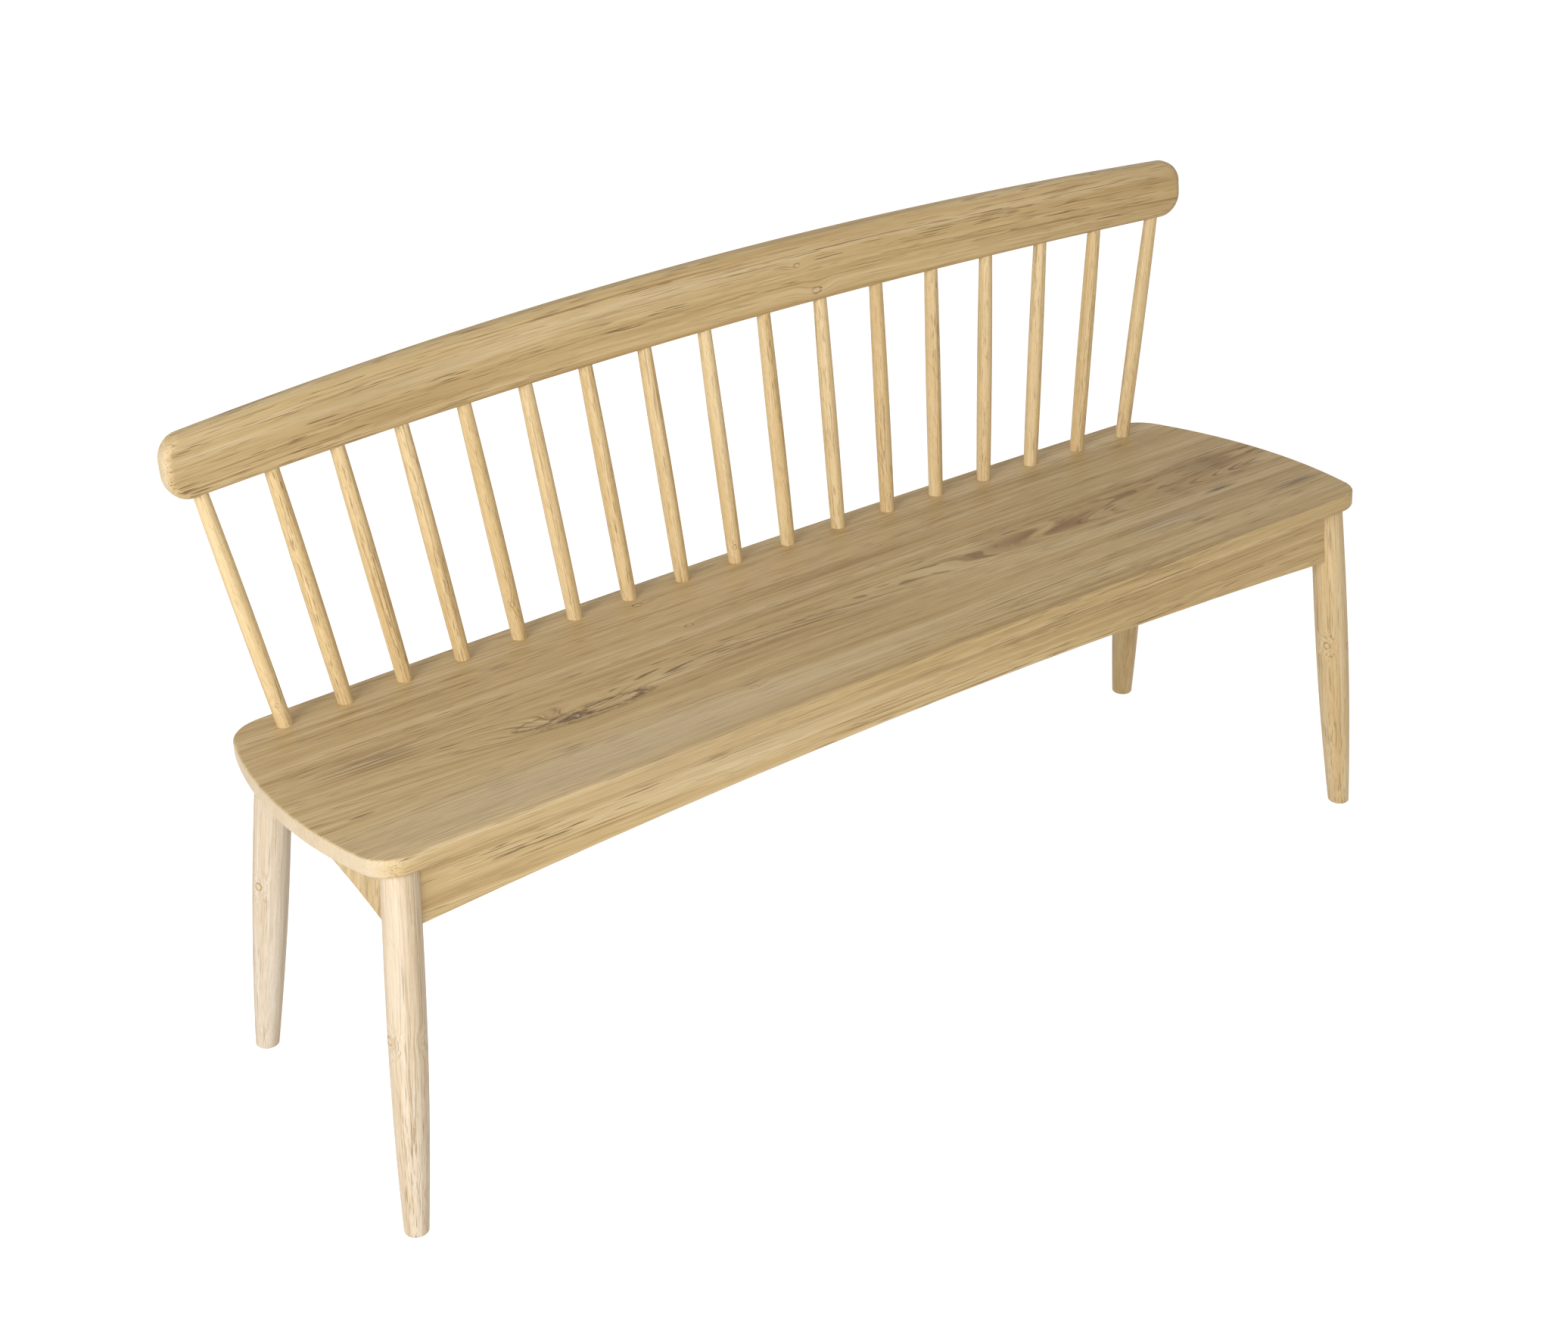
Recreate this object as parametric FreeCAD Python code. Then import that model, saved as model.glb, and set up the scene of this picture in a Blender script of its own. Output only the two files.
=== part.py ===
import FreeCAD, Part
import math
import os

V = FreeCAD.Vector

# A long plank-seat bench with a spindle back, in millimetres.
# While it is built, x = 0 is the middle of its length, y = 0 the middle of the seat's depth, the front
# is towards -y and z = 0 is the floor. The last step slides it along y to the middle of its own depth.

# Seat board
seat_length = 1494.0
seat_depth = 413.5
seat_height = 448.0
seat_thickness = 22.0
seat_slope_deg = 4.94
seat_end_radius = 640.0
seat_widest_forward = 52.0
seat_back_bow = 15.0
seat_front_corner_radius = 41.0
seat_back_corner_radius = 54.0
seat_top_easing = 3.0
seat_bottom_easing = 4.0

# Turned legs: insets run from the seat's widest point and from its front or back edge to the leg's
# axis at the underside of the seat
front_leg_end_inset = 53.5
front_leg_edge_inset = 27.2
back_leg_end_inset = 80.0
back_leg_edge_inset = 57.8
front_leg_side_splay_deg = 5.0
front_leg_fore_splay_deg = 5.65
back_leg_side_splay_deg = 4.92
back_leg_rear_splay_deg = 3.9
leg_foot_diameter = 28.0
leg_swell_diameter = 43.6
leg_top_diameter = 41.0
leg_swell_height = 287.0
leg_sole_easing = 1.5

# Aprons: depths run from the lower of the two legs' tops down to the apron's ends
apron_thickness = 22.0
front_apron_end_depth = 73.0
side_apron_end_depth = 52.0
front_apron_arch = 22.5
back_apron_arch = 12.0
side_apron_arch = 9.0
apron_easing = 1.5

# Stub tenons of the aprons in the legs
tenon_thickness = 10.0
tenon_from_axis = 6.0
tenon_shoulder_cover = 8.0
tenon_edge_margin = 6.0
joint_clearance = 0.1

# Corner blocks, cross rail and their fasteners
block_thickness = 26.0
block_height = 30.0
block_from_leg = 18.0
rail_width = 44.0
rail_height = 24.0
bolt_diameter = 8.0
bolt_past_axis = 8.0
bolt_drop = 15.0
bolt_end_spare = 3.0
washer_diameter = 18.0
washer_thickness = 1.6
nut_across_flats = 13.0
nut_thickness = 6.5
screw_diameter = 4.2
screw_head_diameter = 8.4
screw_head_height = 2.6
screw_bite = 12.0
block_screw_offset = 24.0
rail_screw_count = 3

# Spindles
spindle_count = 17
spindle_seat_pitch = 80.65
spindle_seat_middle_extra = 1.9
spindle_crest_pitch = 86.9
spindle_crest_middle_extra = 2.9
end_spindle_extra_fan = 4.5
spindle_row_inset = 31.2
spindle_row_bow = 19.7
spindle_seat_diameter = 18.6
spindle_swell_diameter = 19.8
spindle_crest_diameter = 17.3
spindle_swell_share = 0.42
seat_socket_depth = 15.0
crest_socket_depth = 24.0

# Crest rail
bench_height = 811.0
crest_length = 1490.0
crest_height = 85.5
crest_thickness = 25.0
crest_bow = 57.7
crest_lean_deg = 7.6
crest_top_drop = 9.6
crest_bottom_rise = 3.5
crest_top_corner_radius = 27.0
crest_bottom_corner_radius = 32.0
crest_edge_share = 0.4
back_lean_deg = 11.8

spare = 20.0


def slope_fall(y):
    return y * math.tan(math.radians(seat_slope_deg))


def seat_top_at(y):
    return seat_height - slope_fall(y)


def seat_under_at(y):
    return seat_top_at(y) - seat_thickness / math.cos(math.radians(seat_slope_deg))


def arc_through(a, b, c):
    return Part.Arc(a, b, c).toShape()


def line(a, b):
    return Part.LineSegment(a, b).toShape()


def prism(points, sweep):
    """A solid between a closed outline of straight sides and its copy moved by the sweep."""
    outline = Part.makePolygon(points + [points[0]])
    return Part.Face(outline).extrude(sweep)


def rod(start, end, diameter):
    """A round rod from one point to another."""
    return Part.makeCylinder(diameter / 2, (end - start).Length, start, end - start)


def arc_radius(along, swell, swell_diameter, end, end_diameter):
    """Radius of a turned piece on the arc that is fullest at the swell and meets its end diameter."""
    fall = (swell_diameter - end_diameter) / 2
    reach = end - swell
    bend = (fall ** 2 + reach ** 2) / (2 * fall)
    return swell_diameter / 2 - bend + math.sqrt(bend ** 2 - (along - swell) ** 2)


def turned(start, end, start_diameter, swell_diameter, end_diameter, swell, before, after):
    """A turned piece on the line from start to end, carried on past each by before and after."""
    length = (end - start).Length

    def lower(along):
        return V(arc_radius(along, swell, swell_diameter, 0, start_diameter), 0, along)

    def upper(along):
        return V(arc_radius(along, swell, swell_diameter, length, end_diameter), 0, along)

    bottom, top = -before, length + after
    profile = Part.Wire([
        line(V(0, 0, bottom), lower(bottom)),
        arc_through(lower(bottom), lower((bottom + swell) / 2), lower(swell)),
        arc_through(upper(swell), upper((top + swell) / 2), upper(top)),
        line(upper(top), V(0, 0, top)),
        line(V(0, 0, top), V(0, 0, bottom)),
    ])
    solid = Part.Face(profile).revolve(V(0, 0, 0), V(0, 0, 1), 360)
    solid.Placement = FreeCAD.Placement(start, FreeCAD.Rotation(V(0, 0, 1), end - start))
    return solid


def largest_faces(solid, count):
    return sorted(solid.Faces, key=lambda face: face.Area)[-count:]


def edges_of(faces):
    return [edge for face in faces for edge in face.Edges]


def edges_along_z(solid, y_sign):
    """Straight upright edges on the front or the back side of the middle."""
    found = []
    for edge in solid.Edges:
        box = edge.BoundBox
        upright = box.ZLength > 1 and box.XLength < 0.01 and box.YLength < 0.01
        if upright and box.Center.y * y_sign > 0:
            found.append(edge)
    return found


# The seat board

def seat_end_at(y):
    """Half the seat's length at a depth y, before its corners are rounded."""
    offset = y + seat_widest_forward
    return seat_length / 2 - seat_end_radius + math.sqrt(seat_end_radius ** 2 - offset ** 2)


def place_on_slope(solid):
    """Tips a board built flat at the floor's level, top at z = 0, to the seat's slope and height."""
    solid.rotate(V(0, 0, 0), V(1, 0, 0), -seat_slope_deg)
    solid.translate(V(0, 0, seat_height))
    return solid


def make_seat():
    front = -seat_depth / 2
    back = seat_depth / 2
    back_end = back - seat_back_bow
    bottom = V(0, 0, -seat_thickness)

    def at(x, y):
        return V(x, y, 0) + bottom

    outline = Part.Wire([
        line(at(-seat_end_at(front), front), at(seat_end_at(front), front)),
        arc_through(at(seat_end_at(front), front), at(seat_end_at(0), 0),
                    at(seat_end_at(back_end), back_end)),
        arc_through(at(seat_end_at(back_end), back_end), at(0, back),
                    at(-seat_end_at(back_end), back_end)),
        arc_through(at(-seat_end_at(back_end), back_end), at(-seat_end_at(0), 0),
                    at(-seat_end_at(front), front)),
    ])
    board = Part.Face(outline).extrude(V(0, 0, seat_thickness))
    board = board.makeFillet(seat_front_corner_radius, edges_along_z(board, -1))
    sharp_back = [e for e in edges_along_z(board, 1) if e.BoundBox.Center.y > back_end - 1]
    board = board.makeFillet(seat_back_corner_radius, sharp_back)
    flat = largest_faces(board, 2)
    upper = max(flat, key=lambda face: face.CenterOfMass.z)
    board = board.makeFillet(seat_top_easing, upper.Edges)
    lower = min(largest_faces(board, 2), key=lambda face: face.CenterOfMass.z)
    board = board.makeFillet(seat_bottom_easing, lower.Edges)
    return place_on_slope(board)


# The space between the floor and the underside of the seat, which stops every piece of the frame

def make_under_seat_space():
    y = seat_depth
    corners = [V(-seat_length, -y, 0), V(-seat_length, y, 0),
               V(-seat_length, y, seat_under_at(y)), V(-seat_length, -y, seat_under_at(-y))]
    return prism(corners, V(2 * seat_length, 0, 0))


# Legs

class Leg:
    """One leg's place: its axis from the foot on the floor to the underside of the seat."""

    def __init__(self, name, side, front):
        self.name = name
        end_inset = front_leg_end_inset if front else back_leg_end_inset
        side_splay = front_leg_side_splay_deg if front else back_leg_side_splay_deg
        if front:
            y = -seat_depth / 2 + front_leg_edge_inset
            lean = -math.tan(math.radians(front_leg_fore_splay_deg))
        else:
            y = seat_depth / 2 - back_leg_edge_inset
            lean = math.tan(math.radians(back_leg_rear_splay_deg))
        height = seat_under_at(y)
        self.top = V(side * (seat_length / 2 - end_inset), y, height)
        out = side * math.tan(math.radians(side_splay))
        self.foot = self.top + V(out, lean, -1) * height
        self.up = (self.top - self.foot).normalize()

    def axis_at(self, z):
        return self.foot + (self.top - self.foot) * (z / self.top.z)


def make_leg_blank(leg, under_seat):
    """The whole turned leg, flat on the floor and flush with the underside of the seat."""
    blank = turned(leg.foot, leg.top, leg_foot_diameter, leg_swell_diameter, leg_top_diameter,
                   leg_swell_height, spare, spare)
    blank = blank.common(under_seat)
    sole = min(blank.Faces, key=lambda face: face.CenterOfMass.z)
    return blank.makeFillet(leg_sole_easing, sole.Edges)


# Aprons, each in the plane of the two legs that it joins

class Apron:
    """The plane between two legs: along it, up it, and out from it away from the seat's middle."""

    def __init__(self, name, leg_a, leg_b, end_depth, arch):
        self.name = name
        self.legs = [leg_a, leg_b]
        self.end_height = min(leg_a.top.z, leg_b.top.z) - end_depth
        self.arch = arch
        self.start = leg_a.axis_at(self.end_height)
        finish = leg_b.axis_at(self.end_height)
        self.length = (finish - self.start).Length
        self.along = (finish - self.start).normalize()
        up = leg_a.up + leg_b.up
        up = up - self.along * up.dot(self.along)
        self.up = up.normalize()
        self.out = self.along.cross(self.up).normalize()
        middle = self.start + self.along * (self.length / 2)
        if self.out.dot(V(middle.x, middle.y, 0)) < 0:
            self.out = self.out * -1

    def at(self, distance, rise, outward=0.0):
        return self.start + self.along * distance + self.up * rise + self.out * outward

    def beside(self, leg, distance, rise, outward=0.0):
        """A point so far from a leg's leaning axis, towards the other leg."""
        drift = rise * leg.up.dot(self.along) / leg.up.dot(self.up)
        if leg is self.legs[0]:
            return self.at(distance + drift, rise, outward)
        return self.at(self.length - distance + drift, rise, outward)

    def slab(self, inward, outward):
        """Everything near the apron's plane between two distances from it."""
        low, high = -seat_height, seat_height
        corners = [self.at(-spare, low, inward), self.at(self.length + spare, low, inward),
                   self.at(self.length + spare, high, inward), self.at(-spare, high, inward)]
        return prism(corners, self.out * (outward - inward))


def tenon_block(apron, leg, grow):
    """The stub tenon at one leg, or its mortise where grow is a clearance."""
    axis_side = tenon_from_axis - grow
    body_side = leg_swell_diameter / 2 + tenon_shoulder_cover
    bottom = tenon_edge_margin - grow
    top = leg.top.z - bolt_drop - bolt_diameter - apron.end_height + grow
    half = tenon_thickness / 2 + grow
    corners = [apron.beside(leg, axis_side, bottom, -half), apron.beside(leg, body_side, bottom, -half),
               apron.beside(leg, body_side, top, -half), apron.beside(leg, axis_side, top, -half)]
    return prism(corners, apron.out * (2 * half))


def make_apron(apron, blanks, under_seat):
    half = apron_thickness / 2
    reach = seat_height
    left_low, right_low = apron.at(0, 0, -half), apron.at(apron.length, 0, -half)
    crown = apron.at(apron.length / 2, apron.arch, -half)
    left_high, right_high = apron.at(0, reach, -half), apron.at(apron.length, reach, -half)
    outline = Part.Wire([
        arc_through(left_low, crown, right_low),
        line(right_low, right_high),
        line(right_high, left_high),
        line(left_high, left_low),
    ])
    board = Part.Face(outline).extrude(apron.out * apron_thickness)
    arched = [e for e in board.Edges if abs(e.Length - outline.Edges[0].Length) < 0.01 and
              e.BoundBox.ZMax < apron.end_height + apron.arch + spare]
    board = board.makeChamfer(apron_easing, arched)
    board = board.common(under_seat)
    for leg in apron.legs:
        board = board.cut(blanks[leg.name])
    for leg in apron.legs:
        board = board.fuse(tenon_block(apron, leg, 0.0))
    return board.removeSplitter()


# Corner blocks and their bolts

class Corner:
    """The inside of the frame at one leg: the way in from the leg, and across it."""

    def __init__(self, leg, aprons):
        self.leg = leg
        self.aprons = aprons
        inward = V(0, 0, 0)
        for apron in aprons:
            towards = apron.along if apron.legs[0] is leg else apron.along * -1
            inward = inward + towards
        inward.z = 0
        self.inward = inward.normalize()
        self.across = V(0, 0, 1).cross(self.inward)
        self.level = leg.top.z - bolt_drop
        self.centre = leg.axis_at(self.level)
        self.near_face = leg_swell_diameter / 2 + block_from_leg

    def at(self, distance, sideways=0.0, rise=0.0):
        return self.centre + self.inward * distance + self.across * sideways + V(0, 0, rise)

    def bolt_hole(self):
        through = self.near_face + block_thickness + spare
        return rod(self.at(-bolt_past_axis - joint_clearance), self.at(through),
                   bolt_diameter + 2 * joint_clearance)


def make_corner_block(corner, under_seat):
    low = bolt_drop - block_height
    near, far = corner.near_face, corner.near_face + block_thickness
    wide = seat_depth / 2
    corners = [corner.at(near, -wide, low), corner.at(far, -wide, low),
               corner.at(far, wide, low), corner.at(near, wide, low)]
    bar = prism(corners, V(0, 0, block_height + spare)).common(under_seat)
    for apron in corner.aprons:
        bar = bar.cut(apron.slab(-apron_thickness / 2, seat_depth))
    return bar.cut(corner.bolt_hole())


def make_bolt(corner):
    far = corner.near_face + block_thickness
    end = far + washer_thickness + nut_thickness + bolt_end_spare
    bolt = rod(corner.at(-bolt_past_axis), corner.at(end), bolt_diameter)
    rims = [e for e in bolt.Edges if abs(e.Length - math.pi * bolt_diameter) < 0.01]
    return bolt.makeChamfer(bolt_diameter / 8, rims)


def make_washer(corner):
    start = corner.near_face + block_thickness
    disc = rod(corner.at(start), corner.at(start + washer_thickness), washer_diameter)
    return disc.cut(corner.bolt_hole())


def make_nut(corner):
    start = corner.near_face + block_thickness + washer_thickness
    radius = nut_across_flats / 2 / math.cos(math.radians(30))
    corners = []
    for side in range(6):
        turn = math.radians(60 * side)
        corners.append(corner.at(start, radius * math.cos(turn), radius * math.sin(turn)))
    nut = prism(corners, corner.inward * nut_thickness)
    return nut.cut(corner.bolt_hole())


# Screws up into the seat, each placed by where it stands and how thick the wood under the seat is

def screw_parts(x, y, wood):
    """The screw at one place and the hole that it needs in the wood and the seat."""
    under = seat_under_at(y)
    head = under - wood
    foot = V(x, y, head)
    tip = V(x, y, under + screw_bite)
    shank = rod(foot, tip, screw_diameter)
    cone = Part.makeCone(screw_head_diameter / 2, screw_diameter / 2, screw_head_height, foot,
                         V(0, 0, 1))
    screw = shank.fuse(cone).removeSplitter()
    wide = joint_clearance
    hole = rod(foot - V(0, 0, spare), tip + V(0, 0, wide), screw_diameter + 2 * wide)
    sink = Part.makeCone(screw_head_diameter / 2 + wide, screw_diameter / 2 + wide,
                         screw_head_height, foot, V(0, 0, 1))
    mouth = rod(foot - V(0, 0, spare), foot, screw_head_diameter + 2 * wide)
    return screw, hole.fuse([sink, mouth])


# The cross rail under the middle of the seat

def make_cross_rail(front_apron, back_apron, under_seat):
    y = seat_depth
    corners = []
    for side, rise in ((-y, 0), (y, 0), (y, spare), (-y, spare)):
        corners.append(V(-rail_width / 2, side, seat_under_at(side) - rail_height + rise * 2))
    bar = prism(corners, V(rail_width, 0, 0)).common(under_seat)
    for apron in (front_apron, back_apron):
        bar = bar.cut(apron.slab(-apron_thickness / 2, seat_depth))
    return bar


# Spindles, fanned from a bowed row on the seat to the bowed crest rail

def crest_underside():
    return bench_height - crest_height


def spindle_row_back():
    """How far behind the seat's middle the middle spindle stands on the seat."""
    return seat_depth / 2 - spindle_row_inset


def crest_row_back():
    """How far back the crest rail's middle line is at its underside, over the leaning spindles."""
    rise = crest_underside() - seat_top_at(spindle_row_back())
    return spindle_row_back() + rise * math.tan(math.radians(back_lean_deg))


def crest_bend():
    return ((crest_length / 2) ** 2 + crest_bow ** 2) / (2 * crest_bow)


def crest_line_at(x):
    """How far forward the crest's middle line lies at x, against its middle."""
    return crest_bend() - math.sqrt(crest_bend() ** 2 - x ** 2)


def spindle_ends(number):
    """Where a spindle leaves the seat and where it enters the crest rail."""
    half = (spindle_count - 1) / 2
    place = number - half
    side = (place > 0) - (place < 0)
    seat_x = place * spindle_seat_pitch + side * spindle_seat_middle_extra
    crest_x = place * spindle_crest_pitch + side * spindle_crest_middle_extra
    if abs(place) == half:
        crest_x += side * end_spindle_extra_fan
    seat_y = spindle_row_back() - spindle_row_bow * (place / half) ** 2
    crest_y = crest_row_back() - crest_line_at(crest_x)
    return V(seat_x, seat_y, seat_top_at(seat_y)), V(crest_x, crest_y, crest_underside())


def make_spindle(number):
    low, high = spindle_ends(number)
    return turned(low, high, spindle_seat_diameter, spindle_swell_diameter, spindle_crest_diameter,
                  spindle_swell_share * (high - low).Length,
                  seat_socket_depth - joint_clearance, crest_socket_depth - joint_clearance)


def seat_socket(number):
    low, high = spindle_ends(number)
    up = (high - low).normalize()
    return rod(low - up * seat_socket_depth, low + up * spare,
               spindle_seat_diameter + 2 * joint_clearance)


def crest_socket(number):
    low, high = spindle_ends(number)
    up = (high - low).normalize()
    return rod(high - up * spare, high + up * crest_socket_depth,
               spindle_crest_diameter + 2 * joint_clearance)


# The crest rail: a leaning, bowed band cut to its crowned outline, then rounded all round

def make_crest():
    lean = math.tan(math.radians(crest_lean_deg))
    low = crest_underside() - spare
    rise = crest_height + 2 * spare
    middle_back = crest_row_back() - spare * lean
    half_sweep = (crest_length / 2 + spare) / crest_bend()

    def on_band(turn, outward):
        radius = crest_bend() + outward
        return V(radius * math.sin(turn), middle_back - crest_bend() + radius * math.cos(turn), low)

    half = crest_thickness / 2
    band_outline = Part.Wire([
        arc_through(on_band(-half_sweep, half), on_band(0, half), on_band(half_sweep, half)),
        line(on_band(half_sweep, half), on_band(half_sweep, -half)),
        arc_through(on_band(half_sweep, -half), on_band(0, -half), on_band(-half_sweep, -half)),
        line(on_band(-half_sweep, -half), on_band(-half_sweep, half)),
    ])
    band = Part.Face(band_outline).extrude(V(0, rise * lean, rise))

    end = crest_length / 2
    front = middle_back - crest_bow - crest_thickness - spare
    depth = crest_bow + 2 * crest_thickness + 3 * spare + rise * lean

    def at(x, z):
        return V(x, front, z)

    end_low = crest_underside() + crest_bottom_rise
    end_high = bench_height - crest_top_drop
    outline = Part.Wire([
        arc_through(at(-end, end_low), at(0, crest_underside()), at(end, end_low)),
        line(at(end, end_low), at(end, end_high)),
        arc_through(at(end, end_high), at(0, bench_height), at(-end, end_high)),
        line(at(-end, end_high), at(-end, end_low)),
    ])
    block = Part.Face(outline).extrude(V(0, depth, 0))
    for level, radius in ((end_high, crest_top_corner_radius), (end_low, crest_bottom_corner_radius)):
        corners = [e for e in block.Edges if e.BoundBox.YLength > depth / 2 and
                   abs(e.BoundBox.Center.z - level) < 1]
        block = block.makeFillet(radius, corners)
    rail = block.common(band)
    return rail.makeFillet(crest_edge_share * crest_thickness, edges_of(largest_faces(rail, 2)))


def build():
    """Every node's name with its list of solids, standing with y = 0 at the seat's middle."""
    under_seat = make_under_seat_space()
    nodes = {}

    front_left = Leg("leg_front_left", -1, True)
    front_right = Leg("leg_front_right", 1, True)
    back_left = Leg("leg_back_left", -1, False)
    back_right = Leg("leg_back_right", 1, False)
    legs = [front_left, front_right, back_left, back_right]
    blanks = {leg.name: make_leg_blank(leg, under_seat) for leg in legs}

    apron_front = Apron("apron_front", front_left, front_right, front_apron_end_depth,
                        front_apron_arch)
    apron_back = Apron("apron_back", back_left, back_right, side_apron_end_depth, back_apron_arch)
    apron_left = Apron("apron_left", front_left, back_left, side_apron_end_depth, side_apron_arch)
    apron_right = Apron("apron_right", front_right, back_right, side_apron_end_depth,
                        side_apron_arch)
    aprons = [apron_front, apron_back, apron_left, apron_right]
    for apron in aprons:
        nodes[apron.name] = [make_apron(apron, blanks, under_seat)]

    seat = make_seat()
    bolts, washers, nuts, screws, seat_holes = [], [], [], [], []
    for leg in legs:
        corner = Corner(leg, [apron for apron in aprons if leg in apron.legs])
        body = blanks[leg.name].cut(corner.bolt_hole())
        for apron in corner.aprons:
            body = body.cut(tenon_block(apron, leg, joint_clearance))
            nodes[apron.name] = [nodes[apron.name][0].cut(corner.bolt_hole())]
        nodes[leg.name] = [body]
        block = make_corner_block(corner, under_seat)
        for sideways in (-block_screw_offset, block_screw_offset):
            spot = corner.at(corner.near_face + block_thickness / 2, sideways)
            wood = seat_under_at(spot.y) - (corner.level + bolt_drop - block_height)
            screw, hole = screw_parts(spot.x, spot.y, wood)
            screws.append(screw)
            seat_holes.append(hole)
            block = block.cut(hole)
        nodes[leg.name.replace("leg", "corner_block")] = [block]
        bolts.append(make_bolt(corner))
        washers.append(make_washer(corner))
        nuts.append(make_nut(corner))

    rail = make_cross_rail(apron_front, apron_back, under_seat)
    for number in range(rail_screw_count):
        share = (number + 1) / (rail_screw_count + 1)
        y = seat_depth * (share - 0.5)
        screw, hole = screw_parts(0, y, rail_height)
        screws.append(screw)
        seat_holes.append(hole)
        rail = rail.cut(hole)
    nodes["cross_rail"] = [rail]

    crest = make_crest()
    for number in range(spindle_count):
        nodes["spindle_%02d" % (number + 1)] = [make_spindle(number)]
        seat_holes.append(seat_socket(number))
        crest = crest.cut(crest_socket(number))
    for hole in seat_holes:
        seat = seat.cut(hole)
    nodes["seat_board"] = [seat]
    nodes["crest_rail"] = [crest]
    nodes["hanger_bolts"] = bolts
    nodes["bolt_washers"] = washers
    nodes["bolt_nuts"] = nuts
    nodes["seat_screws"] = screws
    return nodes


def main():
    os.makedirs("parts", exist_ok=True)
    nodes = build()
    boxes = [solid.optimalBoundingBox(False, False) for solids in nodes.values() for solid in solids]
    middle = (min(box.YMin for box in boxes) + max(box.YMax for box in boxes)) / 2
    for name, solids in sorted(nodes.items()):
        for solid in solids:
            solid.translate(V(0, -middle, 0))
        shape = solids[0] if len(solids) == 1 else Part.makeCompound(solids)
        sound = all(solid.isValid() for solid in shape.Solids)
        shape.exportStep("parts/" + name + ".step")
        print(name, len(shape.Solids), "solids", round(shape.Volume / 1000, 2), "cm3",
              "" if sound else "NOT VALID")
    print("slid along y by", round(-middle, 3))
    print("length", round(max(box.XMax for box in boxes) - min(box.XMin for box in boxes), 2),
          "depth", round(max(box.YMax for box in boxes) - min(box.YMin for box in boxes), 2),
          "height", round(max(box.ZMax for box in boxes) - min(box.ZMin for box in boxes), 2))


main()
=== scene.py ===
import math

import bmesh
import bpy
import numpy as np
from mathutils import Matrix, Vector


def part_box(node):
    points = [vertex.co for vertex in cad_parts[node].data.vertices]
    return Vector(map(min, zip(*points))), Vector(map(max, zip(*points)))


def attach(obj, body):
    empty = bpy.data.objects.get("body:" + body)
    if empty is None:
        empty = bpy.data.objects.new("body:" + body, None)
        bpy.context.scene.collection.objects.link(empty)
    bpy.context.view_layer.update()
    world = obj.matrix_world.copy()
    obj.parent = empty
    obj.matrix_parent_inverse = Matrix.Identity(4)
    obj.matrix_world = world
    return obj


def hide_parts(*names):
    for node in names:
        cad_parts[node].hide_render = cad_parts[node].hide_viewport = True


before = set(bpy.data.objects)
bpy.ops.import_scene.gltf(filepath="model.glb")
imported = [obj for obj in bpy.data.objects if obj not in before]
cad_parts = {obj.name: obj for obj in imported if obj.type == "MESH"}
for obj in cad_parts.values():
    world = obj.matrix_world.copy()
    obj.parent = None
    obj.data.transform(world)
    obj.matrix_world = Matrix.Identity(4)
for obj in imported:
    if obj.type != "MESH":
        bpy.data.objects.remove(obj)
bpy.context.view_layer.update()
print("frame loaded:", len(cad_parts), "nodes")

# All sizes are in metres. While a piece is made, y = 0 is the middle of the seat's depth, as in the part;
# slideBack then brings it to the middle of the whole bench.
slideBack = -0.011015


# Small helpers for node trees

def feed(tree, socket, value):
    if isinstance(value, bpy.types.NodeSocket):
        tree.links.new(value, socket)
    else:
        socket.default_value = value


def addNode(tree, kind, inputs=None, **settings):
    node = tree.nodes.new(kind)
    node.location = (190 * (len(tree.nodes) % 24), -260 * (len(tree.nodes) // 24))
    for key, value in settings.items():
        setattr(node, key, value)
    for key, value in (inputs or {}).items():
        feed(tree, node.inputs[key], value)
    return node


def calc(tree, operation, *values):
    node = addNode(tree, "ShaderNodeMath", operation=operation)
    for socket, value in zip(node.inputs, values):
        feed(tree, socket, value)
    return node.outputs[0]


def plus(tree, a, b):
    return calc(tree, "ADD", a, b)


def minus(tree, a, b):
    return calc(tree, "SUBTRACT", a, b)


def times(tree, a, b):
    return calc(tree, "MULTIPLY", a, b)


def over(tree, a, b):
    return calc(tree, "DIVIDE", a, b)


def timesPlus(tree, a, b, c):
    return calc(tree, "MULTIPLY_ADD", a, b, c)


def vectorCalc(tree, operation, *values):
    node = addNode(tree, "ShaderNodeVectorMath", operation=operation)
    for socket, value in zip(node.inputs, values):
        feed(tree, socket, value)
    return node.outputs["Value" if operation in ("LENGTH", "DOT_PRODUCT") else "Vector"]


def joinXyz(tree, x, y, z):
    return addNode(tree, "ShaderNodeCombineXYZ", {"X": x, "Y": y, "Z": z}).outputs[0]


def splitXyz(tree, vector):
    return addNode(tree, "ShaderNodeSeparateXYZ", {"Vector": vector}).outputs


def paint(red, green, blue):  # a colour as it is seen, 0 to 255, for a socket
    seen = [c / 255 for c in (red, green, blue)]
    return tuple(c / 12.92 if c < 0.04045 else ((c + 0.055) / 1.055) ** 2.4 for c in seen) + (1.0,)


def newMaterial(name):
    material = bpy.data.materials.new(name)
    material.use_nodes = True
    material.node_tree.nodes.clear()
    return material, material.node_tree


def finishMaterial(tree, inputs):
    shader = addNode(tree, "ShaderNodeBsdfPrincipled", inputs)
    addNode(tree, "ShaderNodeOutputMaterial", {"Surface": shader.outputs[0]})


# Oak. Every pattern reads the grain place of a point: u along the grain, v across it, w through it.

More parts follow.
